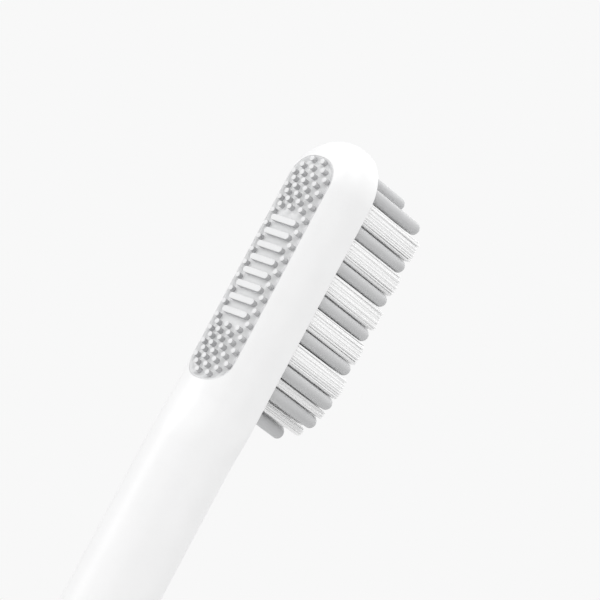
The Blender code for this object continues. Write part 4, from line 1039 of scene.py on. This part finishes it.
studs = copies("studs", stud_mesh, stud_places, grey_rubber)
rib_mesh = stadium_slab("rib", rib_half_width, -rib_half_length, rib_half_length, -pad_depth / 2.0,
                        lambda x, z: stud_height, stud_edge, rings=4)
rib_mesh.transform(Matrix.Rotation(math.pi / 2.0, 4, "Y"))
rib_pitch = 2.0 * stud_spacing_along
rib_count = int(2.0 * (rib_zone_half - stud_spacing_along) / rib_pitch)
rib_places = []
for index in range(rib_count + 1):
    z = pad_middle + (index - rib_count / 2.0) * rib_pitch
    rib_places.append((0.0, back_y(rib_half_length, z, pad_recess), z))
ribs = copies("ribs", rib_mesh, rib_places, grey_rubber)
# Painted light: the pad is the same grey rubber as the foot and button, coloured lighter to lift the shade
# in its sunk face.
pad_grey_painted_light = (0.82, 0.823, 0.828)
# Painted shade: the studs' and ribs' side walls, the faces that turn away from the back, are darkened to
# this share of the pad's grey.
painted_wall_shade = (0.63, 0.63, 0.635)
pad_rubber = moulded("pad_grey_rubber", pad_grey_painted_light, roughness=0.62, grain_size=0.00012, grain_depth=0.000006,
                     shade=0.955)
stud_rubber_painted_shade = moulded("stud_grey_rubber_painted_shade", pad_grey_painted_light, roughness=0.55, grain_size=0.00012, grain_depth=0.000004,
                      shade=0.97)
stud_tree = stud_rubber_painted_shade.node_tree
stud_colour = stud_tree.nodes["Principled BSDF"].inputs["Base Color"]
facing = add_node(stud_tree, "ShaderNodeAttribute", {}, attribute_name="facing_back")
painted_wall_shade_ramp = two_tone(stud_tree, facing.outputs["Fac"], painted_wall_shade, (1.0, 1.0, 1.0), low=0.25, high=0.65)
factor_socket = 0
colour_socket = 6
tint_socket = 7
toned_socket = 2
# The pad's grey multiplied by the painted wall shade.
painted_shade_colour = add_node(stud_tree, "ShaderNodeMix", {
    factor_socket: 1.0, colour_socket: stud_colour.links[0].from_socket, tint_socket: painted_wall_shade_ramp},
    data_type="RGBA", blend_type="MULTIPLY")
stud_tree.links.new(painted_shade_colour.outputs[toned_socket], stud_colour)
pad_overlap = fit_gap - pad_seam
pad_base = stadium_slab("pad_base", pad_high.x + pad_overlap, pad_low.z - pad_overlap,
                        pad_high.z + pad_overlap, pad_floor, pad_face, pad_edge, rings=28,
                        end_power=pad_end_power)
finished("pad_base", pad_base, pad_rubber, "brush_head", "grey_rubber", "tongue_pad")
raised_mesh = joined("pad_studs", [studs, ribs])
# Each face keeps how far it faces back, which sets how much painted shade its colour gets.
keep_numbers(raised_mesh, "facing_back", [face.normal.y for face in raised_mesh.polygons], domain="FACE")
finished("pad_studs", raised_mesh, stud_rubber_painted_shade, "brush_head", "grey_rubber", "tongue_pad")

# Soft rods: round ended rods of grey rubber, darkened as painted shade, all moulded on one hidden web.
# Each stands on a thin shank through the bristles' plate, round the edge of the field.
# Painted shade: the rods are the same grey rubber as the pad and foot, coloured darker to stand in for the
# shade on their sides.
rod_grey_painted_shade = (0.58, 0.583, 0.588)
rod_radius = 0.0008
rod_end = 0.00058
rod_height = 0.0106
end_rod_height = 0.0096
rod_step = 0.00012
rod_shank_radius = 0.00035
rod_margin = 0.0007
rod_column = plate_half_width - rod_margin
field_top = plate_high.z - rod_margin
field_length = plate_high.z - plate_low.z - 2.0 * rod_margin
rod_rows = 5
rod_pitch_share = 0.15
first_rod_share = 0.224
rod_place_shares = [(0.0, 0.0), (0.81, 0.0645)]
rod_place_shares += [(1.0, first_rod_share + row * rod_pitch_share) for row in range(rod_rows)]
rod_place_shares += [(0.77, 0.912), (0.0, 1.0)]
rod_places = []
rod_stretches = []
for x_share, z_share in rod_place_shares:
    for side in ((-1.0, 1.0) if x_share else (1.0,)):
        rod_places.append((side * x_share * rod_column, -head_face, field_top - z_share * field_length))
        rod_stretches.append(1.0 if x_share else end_rod_height / rod_height)
rod_mesh = turned_mesh("rod", eased([
    (0.0, rod_height, 0.0), (rod_radius, rod_height, rod_end), (rod_radius, rod_step, fine_edge),
    (rod_shank_radius, rod_step, 0.0), (rod_shank_radius, -(head_face + web_high.y), 0.0),
    (0.0, -(head_face + web_high.y), 0.0)], steps=8), segments=40)
rod_mesh.transform(Matrix.Rotation(math.pi / 2.0, 4, "X"))
rod_rubber = moulded("rod_grey_rubber", rod_grey_painted_shade, roughness=0.52, grain_size=0.00012, grain_depth=0.000004,
                     shade=0.955)
rods = copies("rods", rod_mesh, rod_places, rod_rubber, rod_stretches)
web_thickness = 0.0007
web_base = stadium_slab("web_base", web_half_width, web_low.z, web_high.z, web_high.y,
                        lambda x, z: web_high.y - web_thickness, fine_edge, rings=4)
finished("rods_and_web", joined("rods_and_web", [rods, web_base]), rod_rubber, "brush_head", "grey_rubber",
         "soft_fingers")

# Bristle plate: the flat slice of the head's front that carries the tufts, in the same white
# plastic. The rods' shanks come through it in plain round holes.
plate_sink = 0.00005
plate_slab = stadium_slab("plate", plate_half_width, plate_low.z, plate_high.z, -plate_back,
                          lambda x, z: face_y(x, z, plate_sink), pad_edge)
shank_hole = turned_mesh("shank_hole", [
    (0.0, plate_back), (rod_shank_radius + fit_gap, plate_back), (rod_shank_radius + fit_gap, -plate_back),
    (0.0, -plate_back)], segments=20)
shank_holes = copies("shank_holes", shank_hole, [(x, z, 0.0) for x, y, z in rod_places], white_plastic)
shank_holes.transform(facing_front(0.0, 0.0, -head_face))
plate_mesh = cut("bristle_plate", plate_slab, [shank_holes])
finished("bristle_plate", plate_mesh, white_plastic, "brush_head", "white_plastic", "bristle_field")

# Bristles: fine white nylon filaments in full tufts with nearly square corners. Each tuft is
# folded over a metal anchor in its hole, spreads a little towards its end and is trimmed, which
# leaves it uneven.
tuft_radius = 0.00085
tuft_width_share = 1.7
tuft_corner_power = 7.0
filament_radius = 0.0001
filament_length = 0.0113
filament_root = 0.0003
filament_taper = 0.85
tuft_place_shares = [(0.31, 0.068, 0.76)]
for row in range(rod_rows):
    beside_share = first_rod_share + row * rod_pitch_share
    between_share = beside_share - 0.5 * rod_pitch_share
    tuft_place_shares += [(0.98, between_share, 1.0), (0.325, between_share, 0.88)]
    tuft_place_shares += [(0.0, beside_share, 0.8), (0.52, beside_share, 0.8)]
tuft_place_shares += [(0.86, 0.868, 0.62), (0.29, 0.897, 0.8), (0.39, 0.957, 0.7)]
golden_angle = math.pi * (3.0 - math.sqrt(5.0))
tuft_group, tuft_in, tuft_out = mesh_tree("bristle_tufts", {
    "Filaments": "Int", "Full radius": "Float", "Filament radius": "Float", "Length": "Float",
    "Splay": "Float", "Stray": "Float", "Unevenness": "Float", "Seed": "Int", "Finish": "Material"})
tuft_sum = sums_in(tuft_group)
least_socket = 2
most_socket = 3
drawn_socket = 1


def tuft_random(least, most, seed_step):
    """A random number for each filament, drawn anew for each use."""
    drawn = add_node(tuft_group, "FunctionNodeRandomValue", {
        "Seed": tuft_sum("ADD", tuft_in["Seed"], float(seed_step)), least_socket: least,
        most_socket: most}, data_type="FLOAT")
    return drawn.outputs[drawn_socket]


def held_number(name):
    """A number that each tuft's place holds."""
    number = add_node(tuft_group, "GeometryNodeInputNamedAttribute", {"Name": name}, data_type="FLOAT")
    return number.outputs[0]


held_radius = held_number("tuft_radius")
held_turn = held_number("tuft_turn")
held_width = held_number("tuft_width")
fill_share = tuft_sum("MULTIPLY", held_width, tuft_sum(
    "POWER", tuft_sum("DIVIDE", held_radius, tuft_in["Full radius"]), 2.0))
filament_count = tuft_sum("ROUND", tuft_sum("MULTIPLY", fill_share, tuft_in["Filaments"]))
filament_points = add_node(tuft_group, "GeometryNodeDuplicateElements", {
    "Geometry": tuft_in["Geometry"], "Amount": filament_count}, domain="POINT")
filament_index = filament_points.outputs["Duplicate Index"]
inside_share = tuft_sum("DIVIDE", tuft_sum("ADD", filament_index, 0.5), filament_count)
away = tuft_sum("MULTIPLY", tuft_sum("SQRT", inside_share),
                tuft_sum("SUBTRACT", held_radius, tuft_in["Filament radius"]))
turn = tuft_sum("MULTIPLY_ADD", filament_index, golden_angle, held_turn)
turn_x = tuft_sum("COSINE", turn)
turn_z = tuft_sum("SINE", turn)
corner_x = tuft_sum("POWER", tuft_sum("ABSOLUTE", turn_x), tuft_corner_power)
corner_z = tuft_sum("POWER", tuft_sum("ABSOLUTE", turn_z), tuft_corner_power)
squared = tuft_sum("POWER", tuft_sum("ADD", corner_x, corner_z), -1.0 / tuft_corner_power)
out_x = tuft_sum("MULTIPLY", tuft_sum("MULTIPLY", turn_x, away), squared)
out_z = tuft_sum("MULTIPLY", tuft_sum("MULTIPLY", tuft_sum("MULTIPLY", turn_z, away), squared), held_width)
root_offset = add_node(tuft_group, "ShaderNodeCombineXYZ", {"X": out_x, "Z": out_z})
rooted = add_node(tuft_group, "GeometryNodeSetPosition", {
    "Geometry": filament_points.outputs["Geometry"], "Offset": root_offset})
splay_rate = tuft_sum("DIVIDE", tuft_in["Splay"], tuft_in["Length"])
lean_x = tuft_sum("MULTIPLY_ADD", tuft_random(-1.0, 1.0, seed_step=1), tuft_in["Stray"],
                  tuft_sum("MULTIPLY", out_x, splay_rate))
lean_z = tuft_sum("MULTIPLY_ADD", tuft_random(-1.0, 1.0, seed_step=2), tuft_in["Stray"],
                  tuft_sum("MULTIPLY", out_z, splay_rate))
lean = add_node(tuft_group, "ShaderNodeCombineXYZ", {"X": lean_x, "Y": -1.0, "Z": lean_z})
stand = add_node(tuft_group, "FunctionNodeAlignRotationToVector", {"Vector": lean}, axis="Z")
drop = tuft_sum("MULTIPLY", tuft_sum("ADD", tuft_random(0.0, 1.0, seed_step=3), inside_share),
                tuft_in["Unevenness"])
tall = add_node(tuft_group, "ShaderNodeCombineXYZ", {
    "X": 1.0, "Y": 1.0, "Z": tuft_sum("SUBTRACT", 1.0, drop)})
tinted = add_node(tuft_group, "GeometryNodeStoreNamedAttribute", {
    "Geometry": rooted, "Name": "filament_tint",
    "Value": tuft_random(0.0, 1.0, seed_step=4)},
    data_type="FLOAT", domain="POINT")
filament = add_node(tuft_group, "GeometryNodeMeshCone", {
    "Vertices": 6, "Side Segments": 1,
    "Radius Top": tuft_sum("MULTIPLY", tuft_in["Filament radius"], filament_taper),
    "Radius Bottom": tuft_in["Filament radius"], "Depth": tuft_in["Length"]},
    fill_type="NGON")
filaments = add_node(tuft_group, "GeometryNodeInstanceOnPoints", {
    "Points": tinted, "Instance": filament, "Rotation": stand,
    "Scale": tall})
end_tree(tuft_group, filaments, tuft_in["Finish"], tuft_out)

nylon_root = (0.955, 0.955, 0.957)
nylon_white = (0.99, 0.99, 0.99)
nylon = moulded("white_nylon", nylon_white, roughness=0.38, grain_size=0.0004, grain_depth=0.000001)
nylon_tree = nylon.node_tree
nylon_colour = nylon_tree.nodes["Principled BSDF"].inputs["Base Color"]
nylon_tint = add_node(nylon_tree, "ShaderNodeAttribute", {}, attribute_name="filament_tint")
nylon_shades = two_tone(nylon_tree, nylon_tint.outputs["Fac"], nylon_root, nylon_white, low=0.0, high=0.45)
nylon_tree.links.new(nylon_shades, nylon_colour)
tuft_base = bpy.data.meshes.new("tuft_places")
tuft_places = []
tuft_radii = []
tuft_widths = []
least_wide_share = 0.7
for x_share, z_share, radius_share in tuft_place_shares:
    for side in ((-1.0, 1.0) if x_share else (1.0,)):
        tuft_places.append((side * x_share * rod_column, -(head_face - filament_root),
                            field_top - z_share * field_length))
        tuft_radii.append(radius_share * tuft_radius)
        tuft_widths.append(tuft_width_share if radius_share > least_wide_share else 1.0)
tuft_base.from_pydata(tuft_places, [], [])
keep_numbers(tuft_base, "tuft_radius", tuft_radii)
keep_numbers(tuft_base, "tuft_width", tuft_widths)
keep_numbers(tuft_base, "tuft_turn", [float(place) for place in range(len(tuft_places))])
bristle_mesh = grown("bristles", tuft_base, tuft_group, {
    "Filaments": 110, "Full radius": tuft_radius, "Filament radius": filament_radius,
    "Length": filament_length, "Splay": 0.04, "Stray": 0.004, "Unevenness": 0.020, "Seed": 7,
    "Finish": nylon})
finished("bristles", bristle_mesh, nylon, "brush_head", "bristle_white", "bristle_field")

# Studio: a pale floor, an even pale surround, a broad lamp above the head's back, a small low
# one beside it, one above the viewer's side and a soft one in front. The camera looks up.
pale_grey = 0.939
surround_level = 0.58
floor_half = 0.9
lamp_distance = 1.0
floor_mesh = bpy.data.meshes.new("floor")
floor_mesh.from_pydata([(-floor_half, -floor_half, 0.0), (floor_half, -floor_half, 0.0),
                        (floor_half, floor_half, 0.0), (-floor_half, floor_half, 0.0)], [], [(0, 1, 2, 3)])
floor = placed("floor", floor_mesh)
floor_mesh.materials.append(moulded("floor_paper", colour=(0.80, 0.80, 0.80), roughness=0.9,
                                    grain_size=0.002, cloud_size=0.2, shade=0.99))

world = bpy.data.worlds.new("pale_surround")
bpy.context.scene.world = world
world.use_nodes = True
world_tree = world.node_tree
seen = world_tree.nodes["Background"]
seen.inputs["Color"].default_value = (pale_grey, pale_grey, pale_grey, 1.0)
lighting = add_node(world_tree, "ShaderNodeBackground", {
    "Color": (1.0, 1.0, 1.0, 1.0), "Strength": surround_level})
rays = world_tree.nodes.new("ShaderNodeLightPath")
world_sum = sums_in(world_tree)
looked_at = world_sum("MAXIMUM", rays.outputs["Is Camera Ray"], rays.outputs["Is Glossy Ray"])
looked_at = world_sum("MAXIMUM", looked_at, rays.outputs["Is Transmission Ray"])
either = add_node(world_tree, "ShaderNodeMixShader", {
    0: looked_at, 1: lighting, 2: seen})
world_tree.links.new(either.outputs[0], world_tree.nodes["World Output"].inputs["Surface"])

view_target = Vector((-0.000636, -0.003853, 0.17103))
for lamp_name, turn_degrees, rise_degrees, power, lamp_side in (
        ("back_lamp", 110.0, 42.0, 2.65, 0.5), ("side_lamp", 48.0, 14.0, 2.0, 0.28),
        ("upper_lamp", 190.0, 56.0, 3.4, 0.7), ("front_lamp", -80.0, 35.0, 2.0, 0.7)):
    lamp_data = bpy.data.lights.new(lamp_name, "AREA")
    lamp_data.shape = "SQUARE"
    lamp_data.size = lamp_side
    lamp_data.energy = power
    lamp = placed(lamp_name, lamp_data)
    lamp_turn = math.radians(turn_degrees)
    lamp_rise = math.radians(rise_degrees)
    towards_lamp = Vector((math.cos(lamp_turn) * math.cos(lamp_rise),
                           math.sin(lamp_turn) * math.cos(lamp_rise), math.sin(lamp_rise)))
    lamp.location = view_target + towards_lamp * lamp_distance
    lamp.rotation_mode = "QUATERNION"
    lamp.rotation_quaternion = towards_lamp.to_track_quat("Z", "Y")
    lamp.visible_camera = False

view_yaw = math.radians(43.1)
view_rise = math.radians(-9.5)
view_roll = math.radians(28.0)
view_distance = 0.6395
towards_camera = Vector((-math.sin(view_yaw) * math.cos(view_rise), math.cos(view_yaw) * math.cos(view_rise),
                         math.sin(view_rise)))
camera_data = bpy.data.cameras.new("camera")
camera_data.sensor_width = 36.0
camera_data.lens = 330.0
camera_data.clip_start = 0.01
camera = placed("camera", camera_data)
camera.rotation_mode = "QUATERNION"
camera.rotation_quaternion = towards_camera.to_track_quat("Z", "Y") @ Quaternion((0.0, 0.0, 1.0), view_roll)
camera.location = view_target + towards_camera * view_distance
bpy.context.scene.camera = camera
bpy.context.scene.view_settings.view_transform = "Standard"
